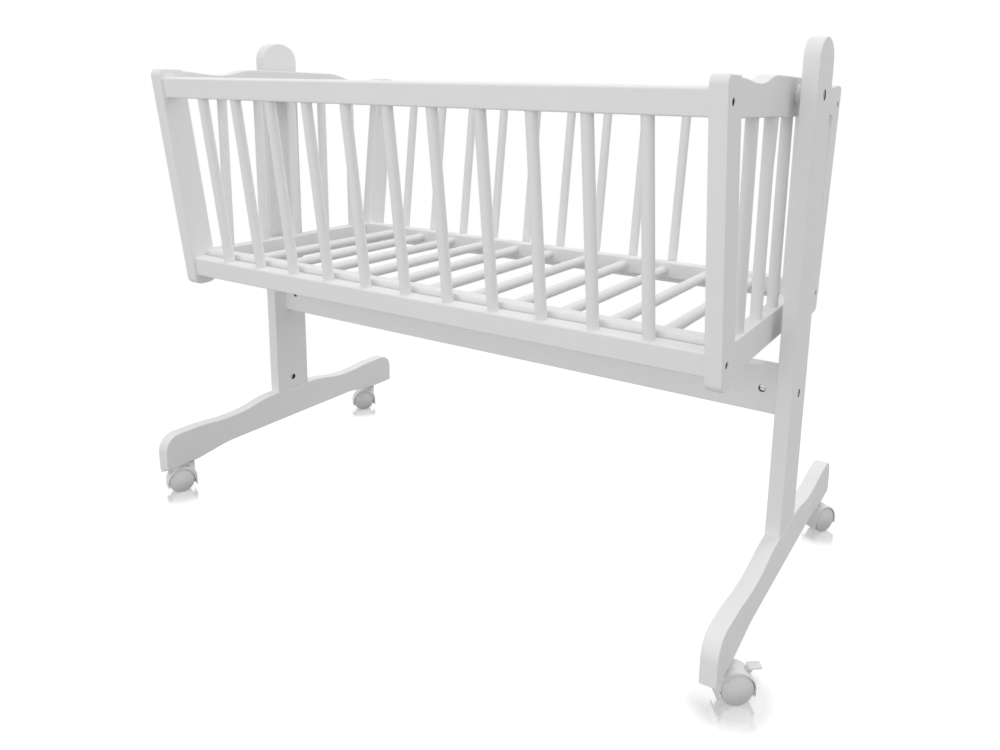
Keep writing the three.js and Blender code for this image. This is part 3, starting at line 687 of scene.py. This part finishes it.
dowels, add, given = node_group("dowel_row", DOWEL_INPUTS)
line = add("GeometryNodeCurvePrimitiveLine", {"mode": "POINTS"}, End=given["Reach"])
circle = add("GeometryNodeCurvePrimitiveCircle", {"mode": "RADIUS"},
             Resolution=given["Sides"], Radius=given["Radius"])
bar = add("GeometryNodeCurveToMesh", Curve=line.outputs["Curve"],
          Profile_Curve=circle.outputs["Curve"], Fill_Caps=True)
points = add("GeometryNodeMeshLine", {"mode": "OFFSET"}, Count=given["Count"],
             Start_Location=given["First"], Offset=given["Step"])
copies = add("GeometryNodeInstanceOnPoints", Points=points.outputs["Mesh"], Instance=bar.outputs["Mesh"])
finish_tree(add, copies, given["Finish"])
print("tree:", dowels.name, "with", len(dowels.nodes), "nodes")

# %% [markdown]
# A tree works as a modifier of an object. Its inputs are set by their identifiers, which stay the same
# when a label changes. The mesh that it shows is then kept as a plain one.

# %% Growing a mesh
def grow(name, tree, values, places=()):
    """Runs a tree, on points that each face their own way if it needs some, and keeps a plain mesh."""
    mesh = bpy.data.meshes.new(name)
    mesh.from_pydata([point for point, _ in places], [], [])
    turns = mesh.attributes.new("turn", "FLOAT_VECTOR", "POINT")
    for index, (_, facing) in enumerate(places):
        turns.data[index].vector = Vector(facing).to_track_quat("Z", "Y").to_euler()
    made = add_object(name, mesh)
    modifier = made.modifiers.new("grow", "NODES")
    modifier.node_group = tree
    for item in tree.interface.items_tree:
        if item.in_out == "INPUT" and item.name in values:
            modifier[item.identifier] = values[item.name]
    return bake(made)


def dowel_row(name, nodes, count, first, step, reach, grain):
    """A row of dowels that starts at a point, with one step between them and one reach for all."""
    made = grow(name, dowels, {"Count": count, "First": first, "Step": step, "Reach": reach,
                               "Radius": DOWEL / 2, "Sides": DOWEL_SIDES, "Finish": paint[grain]})
    face_outwards(made.data)
    print(name, len(made.data.polygons), "faces")
    return paint_piece(made, "basket", nodes, grain)

# %% [markdown]
# The side spindles stand in the lower rail and reach up into the top rail, so they lean as the rails
# do. The slats run from one base rail to the other. Both keep the same even step along the cradle.

# %% Spindles and slats
SIDE_COUNT, END_COUNT = 11, 5
END_PITCH = 76 * MM
SEATED = 6 * MM

side_step = 2 * rail_end / (SIDE_COUNT + 1)
for row_name, row in rows:
    low, high = bolt_heights["bottom"], bolt_heights["top"]
    start = (side_step - rail_end, row * rail_middle(low), low)
    reach = (0, row * (rail_middle(high) - rail_middle(low)), high - low)
    dowel_row(f"{row_name}_spindles", [f"{row_name}_bottom_rail_with_spindles"], SIDE_COUNT, start,
              (side_step, 0, 0), reach, "z")

end_middle = (corner_low.x + corner_high.x) / 2
for name, side in ends:
    start = (side * end_middle, -END_PITCH * (END_COUNT - 1) / 2, bottom_rail_high - SEATED)
    dowel_row(f"{name}_end_spindles", [f"{name}_end_spindle_{index + 1}" for index in range(END_COUNT)],
              END_COUNT, start, (0, END_PITCH, 0),
              (0, 0, top_rail_low - bottom_rail_high + 2 * SEATED), "z")

base_middle = (base_low.z + base_high.z) / 2
dowel_row("base_slats", [base_nodes[1]], SIDE_COUNT,
          (side_step - rail_end, -base_inner - SEATED, base_middle), (side_step, 0, 0),
          (0, 2 * (base_inner + SEATED), 0), "y")

# %% [markdown]
# ## Bolts and cross nuts
# Long socket-head bolts hold the cradle together, and each long bolt of the stand ends in a round
# cross nut. They sit in drilled holes, so that only the head's rim and dark socket show. Again they
# repeat, so a second tree sets one modelled screw on many points, turned as each point says.

# %% The screw tree
SCREW_INPUTS = {"Screw": "Object", "Finish": "Material"}

screws, add, given = node_group("screws_on_points", SCREW_INPUTS)
model = add("GeometryNodeObjectInfo", {"transform_space": "ORIGINAL"}, Object=given["Screw"])
turn = add("GeometryNodeInputNamedAttribute", {"data_type": "FLOAT_VECTOR"}, Name="turn")
rotation = add("FunctionNodeEulerToRotation", Euler=turn.outputs["Attribute"])
copies = add("GeometryNodeInstanceOnPoints", Points=given["Geometry"],
             Instance=model.outputs["Geometry"], Rotation=rotation.outputs["Rotation"])
finish_tree(add, copies, given["Finish"])
print("tree:", screws.name, "with", len(screws.nodes), "nodes")


def screw_set(name, model, places, body, nodes, finish=zinc):
    """Sets a model on every place, which is a point and the way that the screw's head faces."""
    made = grow(name, screws, {"Screw": model, "Finish": finish}, places)
    bpy.data.objects.remove(model)
    print(name, "at", len(places), "places")
    return finish_piece(made, body, nodes, finish)

# %% [markdown]
# The models to copy are a socket-head screw, a cross nut with a slot for the screwdriver that turns it
# into line, and a nearly black lining of painted shade. Every hole gets such a lining, because a narrow
# drilled hole lies in deep shade, much darker than the paint round it.

# %% Models to copy
SOCKET_DEEP = 4.2 * MM
SOCKET_SHARE = 0.58
CHAMFER = 0.5 * MM
SLOT_WIDE, SLOT_DEEP = 1.6 * MM, 2 * MM


def cap_screw(shank, head, head_long, length):
    """A socket-head screw with the middle of its head's face at the origin, facing up."""
    socket = head * SOCKET_SHARE / 2
    return turned("screw_model", (0, 0, 0), (0, 0, 1), [
        (-length, shank / 2 - CHAMFER), (CHAMFER - length, shank / 2), (-head_long, shank / 2),
        (-head_long, head / 2), (-CHAMFER, head / 2), (0, head / 2 - CHAMFER),
        (0, socket + CHAMFER / 2), (-CHAMFER / 2, socket, 6), (-SOCKET_DEEP, socket, 6)])


def shade_liner(hole):
    """The wall and floor of a drilled hole in nearly black painted shade, with the hole's mouth at the
    origin, facing up.
    """
    wall, tip = hole.diameter / 2 + SHADE_LINER / 8, hole.shaft / 2 + SHADE_LINER
    return turned("liner_model", (0, 0, 0), (0, 0, 1), [
        (SHADE_LINER - hole.deep, tip), (SHADE_LINER - hole.deep, wall - SHADE_LINER), (-hole.dark_from, wall - SHADE_LINER),
        (-hole.dark_from, wall), (-hole.deep, wall), (-hole.deep, tip)])


def cross_nut():
    """A round cross nut with its slotted face at the origin, facing up."""
    nut = turned("nut_model", (0, 0, 0), (0, 0, 1), [
        (-NUT_LONG, NUT / 2 - CHAMFER), (CHAMFER - NUT_LONG, NUT / 2), (-CHAMFER, NUT / 2),
        (0, NUT / 2 - CHAMFER)])
    thread = turned("thread", (-NUT, 0, -NUT_LONG / 2), (1, 0, 0), [(0, BOLT / 2), (2 * NUT, BOLT / 2)])
    slot = block("slot", (-NUT, -SLOT_WIDE / 2, -SLOT_DEEP), (NUT, SLOT_WIDE / 2, SLOT_DEEP))
    return combine(nut, "DIFFERENCE", [thread, slot])

# %% [markdown]
# Eight screws hold the basket's corners, two carry it on the posts, and four with their cross nuts
# hold the stand. Each set rides on the body that it is screwed into.

# %% Screws in their places
def at_ends(reach, height):
    """A place at both ends of the cradle, facing away from its middle."""
    return [((side * reach, 0, height), (side, 0, 0)) for _, side in ends]


def at_corners(reach):
    """A place at each corner screw, facing away from the middle."""
    return [((side * reach, row * rail_middle(z), z), (side, 0, 0))
            for _, side in ends for _, row in rows for z in bolt_heights.values()]


def both(what):
    """The names of a thing that both ends have."""
    return [f"{name}_{what}" for name, _ in ends]


corner_face = corner_high.x - CORNER_RECESS
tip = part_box("back_right_top_corner_bolt")[0].x
screw_set("corner_screws", cap_screw(BOLT, CORNER_HEAD, BOLT_HEAD_LONG, corner_face - tip),
          at_corners(corner_face), "basket",
          [f"{row_name}_{name}_{level}_corner_bolt"
           for name, _ in ends for row_name, _ in rows for level in bolt_heights])

tip, face = (corner.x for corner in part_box("right_pivot_bolt"))
screw_set("pivot_screws", cap_screw(PIVOT_BOLT, PIVOT_HEAD, PIVOT_HEAD_LONG, face - tip),
          at_ends(face, pivot_high), "basket", both("pivot_bolt"))

tip, face = (corner.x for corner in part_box("right_stretcher_bolt"))
screw_set("stretcher_screws", cap_screw(BOLT, BOLT_HEAD, BOLT_HEAD_LONG, face - tip),
          at_ends(face, stretcher_middle), "stand", both("stretcher_bolt"))

face, tip = (corner.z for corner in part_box("right_foot_bolt"))
screw_set("foot_screws", cap_screw(BOLT, BOLT_HEAD, BOLT_HEAD_LONG, tip - face),
          [((side * post_middle, 0, face), (0, 0, -1)) for _, side in ends], "stand", both("foot_bolt"))

nut_places = [((side * nut_reach, -NUT_LONG / 2, stretcher_middle), (0, -1, 0)) for _, side in ends]
nut_places += [((side * (post_middle - NUT_LONG / 2), 0, foot_nut_high), (-side, 0, 0))
               for _, side in ends]
screw_set("cross_nuts", cross_nut(), nut_places, "stand", both("stretcher_nut") + both("foot_nut"))

# %% [markdown]
# The linings of painted shade ride on the boards that are drilled. They start just under the countersink,
# so that its bright rim still shows, and those of the corner screws start lower, because these screws sit
# deeper.

# %% Painted shade in the holes
posts = both("post")
corner_posts = [f"{row_name}_{name}_corner_post" for name, _ in ends for row_name, _ in rows]
# Nearly black linings, painted shade, for every drilled hole.
shade_liners = (
    ("pivot_bores", PIVOT_HOLE, "stand", posts, at_ends(post_high.x, pivot_high)),
    ("stretcher_screw_bores", BOLT_HOLE, "stand", posts, at_ends(post_high.x, stretcher_middle)),
    ("foot_nut_bores", post_nut_hole, "stand", posts,
     [((side * post_low.x, 0, foot_nut_high), (-side, 0, 0)) for _, side in ends]),
    ("stretcher_nut_bores", stretcher_nut_hole, "stand", ["stretcher"],
     [((side * nut_reach, stretcher_low.y, stretcher_middle), (0, -1, 0)) for _, side in ends]),
    ("corner_screw_bores", CORNER_HOLE, "basket", corner_posts, at_corners(corner_high.x)))
for name, hole, body, nodes, places in shade_liners:
    screw_set(name, shade_liner(hole), places, body, nodes, painted_shade)

# %% [markdown]
# ## Spacers on the swing axis
# A white plastic spacer sits on each pivot bolt and keeps the basket clear of the post. It is a
# turned piece with a soft edge at both ends.

# %% Spacers
SPACER_EDGE = 0.9 * MM
spacer_low, spacer_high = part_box("right_pivot_spacer")
spacer_radius = (spacer_high.z - spacer_low.z) / 2
spacer_long = spacer_high.x - spacer_low.x
edge = [(0, SPACER_EDGE), (SPACER_EDGE / 3, SPACER_EDGE / 3), (SPACER_EDGE, 0)]
profile = [(along, spacer_radius - drawn) for along, drawn in edge]
profile += [(spacer_long - along, spacer_radius - drawn) for along, drawn in reversed(edge)]
for name, side in ends:
    made = turned(f"{name}_spacer", (side * spacer_low.x, 0, pivot_high), (side, 0, 0), profile)
    finish_piece(made, "basket", [f"{name}_pivot_spacer"], spacer_plastic)
print("spacers:", round(spacer_long / MM, 1), "mm long")

# %% [markdown]
# ## Twin-wheel castors
# A castor is a moulded hood over two wheels, with a collar that holds the steel stem. It is built once
# in its own frame, with the stem upright and the wheels trailing behind it, and then each copy is
# turned the way its wheel joint lies. The castor's neck shows only as a dark gap, so the stem gets
# the nearly black painted shade instead of zinc. The places on a wheel's cover are shares of its radius.

# %% Castor sizes
HOOD_GAP, HOOD_THICK, HOOD_WIDE = 0.6 * MM, 2.5 * MM, 27 * MM
HOOD_STEM_REACH, HOOD_TAIL_REACH, HOOD_TOP = 8 * MM, 41.2 * MM, 47 * MM
HOOD_STEM_ROUND, HOOD_TAIL_ROUND, HOOD_EDGE = 21 * MM, 27 * MM, 2.2 * MM
HOOD_FRONT_LOW, HOOD_BACK_LOW = 10.5 * MM, 13 * MM
WHEEL_SIDES, RIM_STEPS = 72, 6
WEB = 6 * MM
COLLAR, COLLAR_TOP, NECK, STEM, STEM_TOP = 13 * MM, 51.8 * MM, 8.6 * MM, 8 * MM, 84.7 * MM
WHEEL_GAP, TREAD_WIDE, RIM_ROUND, WHEEL_BULGE = 0.4 * MM, 9.5 * MM, 2.6 * MM, 3.4 * MM
COVER_RIM, COVER_GROOVE, COVER_CUT, COVER_CUT_FLOOR = 0.94, 0.86, 0.02, 0.008
COVER_GROOVE_DEEP = 0.25 * MM
COVER_RINGS = (0.74, 0.6, 0.45, 0.3, 0.15, 0.03)
AXLE = 5 * MM
HOOD_BEVEL, PLATE_EASE, PEDAL_EASE = 0.3 * MM, 0.35 * MM, 0.7 * MM
PEDAL_REACH, PEDAL_LONG, PEDAL_WIDE, PEDAL_THICK = 49.5 * MM, 17.5 * MM, 13 * MM, 2.4 * MM
PEDAL_TOP, PEDAL_ROUND = 46.2 * MM, 2.5 * MM
LEVER_THICK, LEVER_BOSS, LEVER_SPARE = 6 * MM, 5.2 * MM, 1 * MM
GUSSET_LOW, GUSSET_LONG = math.radians(6), 10 * MM
LEVER_SLOT_LOW, LEVER_SLOT_HIGH, LEVER_SLOT_REACH = math.radians(-18), math.radians(68), 12 * MM


def wheel_profile(radius):
    """Half of a wheel's section, from its inner face to the middle of its domed cover."""
    inner = WEB / 2 + WHEEL_GAP
    rim = inner + TREAD_WIDE
    flat = radius - RIM_ROUND
    crown = arc((rim - RIM_ROUND, flat), (RIM_ROUND, RIM_ROUND), math.pi / 2, 0, RIM_STEPS)

    def dome(share, deep=0):
        return rim + WHEEL_BULGE * (1 - share * share) - deep, flat * share
    groove = [dome(COVER_GROOVE + COVER_CUT), dome(COVER_GROOVE + COVER_CUT_FLOOR, COVER_GROOVE_DEEP),
              dome(COVER_GROOVE - COVER_CUT_FLOOR, COVER_GROOVE_DEEP), dome(COVER_GROOVE - COVER_CUT)]
    return [(inner, radius - 2 * CHAMFER), (inner + CHAMFER, radius), *crown, dome(COVER_RIM), *groove,
            *(dome(share) for share in COVER_RINGS)]

# %% [markdown]
# The hood starts as a thick domed board across the wheels. The collar is joined to it, then the two
# wheel spaces, the open underside and the lever's slot are cut out, in the order in which a mould
# would core them.

# %% Castor pieces
def plate(name, outline, thick, ease=PLATE_EASE):
    """A flat plate across Y, from an outline in X and Z."""
    made = board(name, outline, -thick / 2, thick / 2, ease)
    made.data.transform(Matrix(((0, 1, 0, 0), (1, 0, 0, 0), (0, 0, 1, 0), (0, 0, 0, 1))))
    made.data.flip_normals()
    return made


def wheel_room(trail, axle, side):
    """The space for one wheel under the hood, with more of it on the side of the stem."""
    near, far = sorted((side * WEB / 2, side * HOOD_WIDE))
    room = turned("room", (trail, near, axle), (0, 1, 0),
                  [(0, axle + HOOD_GAP), (far - near, axle + HOOD_GAP)], WHEEL_SIDES)
    return combine(room, "UNION", [
        block("stem_side", (HOOD_THICK - HOOD_STEM_REACH, near, -OVERRUN), (trail, far, axle))])


def make_hood(trail, axle, lever):
    left, right = -HOOD_STEM_REACH, HOOD_TAIL_REACH
    hood = plate("hood", rounded([(left, 0, 0), (right, 0, 0), (right, HOOD_TOP, HOOD_TAIL_ROUND),
                                  (left, HOOD_TOP, HOOD_STEM_ROUND)]), HOOD_WIDE, HOOD_EDGE)
    collar = turned("collar", (0, 0, axle), (0, 0, 1), [
        (0, COLLAR / 2), (COLLAR_TOP - axle - CHAMFER, COLLAR / 2),
        (COLLAR_TOP - axle, COLLAR / 2 - CHAMFER)])
    combine(hood, "UNION", [collar])
    left, right = left - OVERRUN, right + OVERRUN
    corners = (left, -OVERRUN), (right, -OVERRUN), (right, HOOD_BACK_LOW), (left, HOOD_FRONT_LOW)
    below = plate("below", [Vector(corner) for corner in corners], 2 * HOOD_WIDE)
    tools = [wheel_room(trail, axle, side) for side in (-1, 1)] + [below]
    if lever:
        x, z = lever
        wide, boss = LEVER_THICK + LEVER_SPARE, (LEVER_BOSS + LEVER_SPARE) / 2
        sweep = [Vector((x, z))] + arc(lever, (LEVER_SLOT_REACH,) * 2, LEVER_SLOT_LOW, LEVER_SLOT_HIGH)
        tools.append(plate("slot", sweep, wide))
        tools.append(turned("boss_room", (x, -wide / 2, z), (0, 1, 0), [(0, boss), (wide, boss)]))
    return combine(hood, "DIFFERENCE", tools)


def make_wheels(trail, axle):
    """Two domed wheels and the axle between them, as one piece."""
    middle = (trail, 0, axle)
    pair = turned("wheels", middle, (0, -1, 0), wheel_profile(axle), WHEEL_SIDES)
    other = turned("wheel", middle, (0, 1, 0), wheel_profile(axle), WHEEL_SIDES)
    bar = turned("axle", (trail, -WEB, axle), (0, 1, 0), [(0, AXLE / 2), (2 * WEB, AXLE / 2)])
    return combine(pair, "UNION", [bar, other])


def make_stem(lift):
    """The stem and its neck, which reaches up to the foot."""
    return turned("stem", (0, 0, COLLAR_TOP - CHAMFER), (0, 0, 1), [
        (0, NECK / 2), (lift - COLLAR_TOP, NECK / 2), (lift - COLLAR_TOP, STEM / 2),
        (STEM_TOP - COLLAR_TOP, STEM / 2)])


def make_lever(lever):
    """The brake lever: a pedal on a thick blade that curves down to its boss on a pin."""
    x, z = lever
    start, under = PEDAL_REACH - PEDAL_LONG, PEDAL_TOP - PEDAL_THICK
    toe = Vector((x + GUSSET_LONG * math.cos(GUSSET_LOW), z + GUSSET_LONG * math.sin(GUSSET_LOW)))
    bend = under + PEDAL_THICK / 4 - toe.y
    gusset = arc((toe.x + bend, toe.y), (bend, bend), math.pi, math.pi / 2)
    inside = PEDAL_TOP - PEDAL_THICK / 4
    blade = plate("blade", [Vector((x, z)), *gusset, Vector((toe.x + bend, inside)),
                            Vector((start + CHAMFER, inside)), Vector((x - LEVER_BOSS / 4, z))], LEVER_THICK)
    half = PEDAL_WIDE / 2
    flat = rectangle((start, -half), (PEDAL_REACH, half), PEDAL_ROUND)
    pedal = board("pedal", flat, under, PEDAL_TOP, ease=PEDAL_EASE)
    pedal.data.transform(Matrix(((0, 1, 0, 0), (0, 0, 1, 0), (1, 0, 0, 0), (0, 0, 0, 1))))
    boss = turned("boss", (x, -LEVER_THICK / 2, z), (0, 1, 0),
                  [(0, LEVER_BOSS / 2), (LEVER_THICK, LEVER_BOSS / 2)])
    return combine(pedal, "UNION", [blade, boss])

# %% [markdown]
# Each castor takes its place and its turn from its two joints. The turned mesh is moved, not the
# object, so that every piece's object stays at the origin as the frame asks.

# %% Castors in their places
for corner in ("front_left", "front_right", "back_left", "back_right"):
    stem_at = Vector(joints[f"{corner}_caster_swivel"]["pos_m"])
    axle_at = Vector(joints[f"{corner}_wheel_roll"]["pos_m"])
    along = Vector((axle_at.x - stem_at.x, axle_at.y - stem_at.y, 0))
    trail, axle = along.length, axle_at.z
    turn = math.atan2(along.y, along.x)
    put = Matrix.Translation((stem_at.x, stem_at.y, 0)) @ Matrix.Rotation(turn, 4, "Z")
    brake = joints.get(f"{corner}_brake_press")
    lever = None
    if brake:
        pin = put.inverted() @ Vector(brake["pos_m"])
        lever = (pin.x, pin.z)
    hood, wheels, stem = make_hood(trail, axle, lever), make_wheels(trail, axle), make_stem(foot_low.z)
    made = [(hood, "hood", "caster", "caster_housing", "hood_plastic", hood_plastic),
            (wheels, "wheel_pair", "wheels", "caster_wheels", "wheel_plastic", wheel_plastic),
            # The stem gets the nearly black finish: painted shade for the gap at the castor's neck.
            (stem, "stem", "caster", "caster_housing", "zinc_steel", painted_shade)]
    if lever:
        made.append((make_lever(lever), "pedal", "brake", "brake_lever", "hood_plastic", hood_plastic))
    for piece, label, body, node, slot, finish in made:
        piece.name = f"{corner}_{label}"
        piece.data.transform(put)
        finish_piece(piece, f"{corner}_{body}", [f"{corner}_{node}"], finish,
                     bevel=HOOD_BEVEL if piece is hood else 0)
    print(corner, "castor turned", round(math.degrees(turn)), "degrees")

# %% [markdown]
# ## A white studio
# The photograph is a cut-out on pure white with only a faint reflection under the wheels. Here the
# cradle stands on a pale floor that keeps its soft shadow. A weak mirror skin covers the floor only
# close to each castor, and the light that the floor throws back is dim there, so that the wheels'
# undersides go dark. Far from the cradle the floor is plain white, so no horizon shows.

# %% Floor
WHITE = (1, 1, 1, 1)
FLOOR_HALF, FLOOR_THICK = 9.0, 0.02
FLOOR_SHADE, FLOOR_GLOW = 0.36, 0.76
MIRROR_SHARE, MIRROR_ROUGHNESS = 0.45, 0.10
MIRROR_FROM, MIRROR_BEYOND = 0.035, 0.07
# Near each castor the floor is nearly black to bounced light: painted shade for the wheels' undersides.
DIM_FROM, DIM_BEYOND, DIM_SHADE = 0.04, 0.12, 0.07
WHITE_FROM, WHITE_BEYOND = 0.55, 1.15


def background_rays(tree):
    """Is 1 for the rays that show the background: from the camera, off gloss and through glass."""
    path = tree.nodes.new("ShaderNodeLightPath")
    seen, *others = (Socket(tree, path.outputs[f"Is {kind} Ray"])
                     for kind in ("Camera", "Glossy", "Transmission"))
    for ray in others:
        seen = seen.maths("MAXIMUM", seen, ray)
    return seen


def floor_surface(place):
    def fade(away, low, high, start, end):
        return place.node("ShaderNodeMapRange", {"interpolation_type": "SMOOTHSTEP"}, {
            "Value": away, "From Min": low, "From Max": high, "To Min": start, "To Max": end})

    def blend(factor, first, second):
        return place.node("ShaderNodeMixShader", None, {0: factor, 1: first, 2: second})

    nearest = 1.0
    for name, joint in joints.items():
        if name.endswith("roll"):
            away = place.node("ShaderNodeVectorMath", {"operation": "DISTANCE"},
                              {0: place, 1: (*joint["pos_m"][:2], 0)}, output="Value")
            nearest = place.maths("MINIMUM", nearest, away)
    seen = background_rays(place.tree)
    matt = place.node("ShaderNodeBsdfDiffuse", None, {"Color": (FLOOR_SHADE,) * 3 + (1,)})
    glow = place.node("ShaderNodeEmission", None, {"Color": WHITE, "Strength": FLOOR_GLOW})
    near = place.node("ShaderNodeAddShader", None, {0: matt, 1: glow})
    white = place.node("ShaderNodeEmission", None, {"Color": WHITE, "Strength": 1.0})
    middle = place.node("ShaderNodeVectorMath", {"operation": "LENGTH"}, {0: place}, output="Value")
    pale = blend(fade(middle, WHITE_FROM, WHITE_BEYOND, 0.0, 1.0), near, white)
    # Painted shade: close to each castor the floor throws back almost no light, so the wheels' undersides go
    # dark.
    dim = place.node("ShaderNodeBsdfDiffuse", None, {"Color": (DIM_SHADE,) * 3 + (1,)})
    unseen = blend(fade(nearest, DIM_FROM, DIM_BEYOND, 1.0, 0.0), matt, dim)
    mirror = place.node("ShaderNodeBsdfGlossy", None, {"Color": WHITE, "Roughness": MIRROR_ROUGHNESS})
    return blend(fade(nearest, MIRROR_FROM, MIRROR_BEYOND, MIRROR_SHARE, 0.0) * seen,
                 blend(seen, unseen, pale), mirror)


floor = block("floor", (-FLOOR_HALF, -FLOOR_HALF, -FLOOR_THICK), (FLOOR_HALF, FLOOR_HALF, 0))
floor.data.materials.append(make_material("floor", floor_surface))
print("floor:", 2 * FLOOR_HALF, "m wide")

# %% [markdown]
# The world is white to the camera and to reflections, and gives the boards a plain soft light from
# all round. Three large lamps add the little that tells one face from another: the tops of the
# boards are the lightest, so white paint stays a little under white and its edges can still shine.

# %% World and lamps
AMBIENT = 0.76
LAMPS_AIM = Vector((0, 0, 0.4))


def soft_lamp(name, place, size, power):
    """A large square lamp that looks at the middle of the cradle."""
    lamp = add_object(name, bpy.data.lights.new(name, "AREA"))
    lamp.data.size, lamp.data.energy = size, power
    lamp.location = place
    lamp.rotation_euler = (LAMPS_AIM - lamp.location).to_track_quat("-Z", "Y").to_euler()


world = bpy.data.worlds.new("studio")
world.use_nodes = True
tree = world.node_tree
tree.nodes.clear()
seen = background_rays(tree)
strength = AMBIENT + (1 - AMBIENT) * seen
sky = seen.node("ShaderNodeBackground", None, {"Color": WHITE, "Strength": strength})
tree.links.new(sky.output, tree.nodes.new("ShaderNodeOutputWorld").inputs["Surface"])
bpy.context.scene.world = world
soft_lamp("overhead", place=(-0.4, -0.8, 7.0), size=5.0, power=50)
soft_lamp("back", place=(1.5, 5.0, 5.0), size=4.0, power=130)
soft_lamp("front", place=(0.1, -2.4, 0.8), size=1.4, power=11)
bpy.context.scene.view_settings.view_transform = "Standard"
print("lamps:", len(bpy.data.lights))
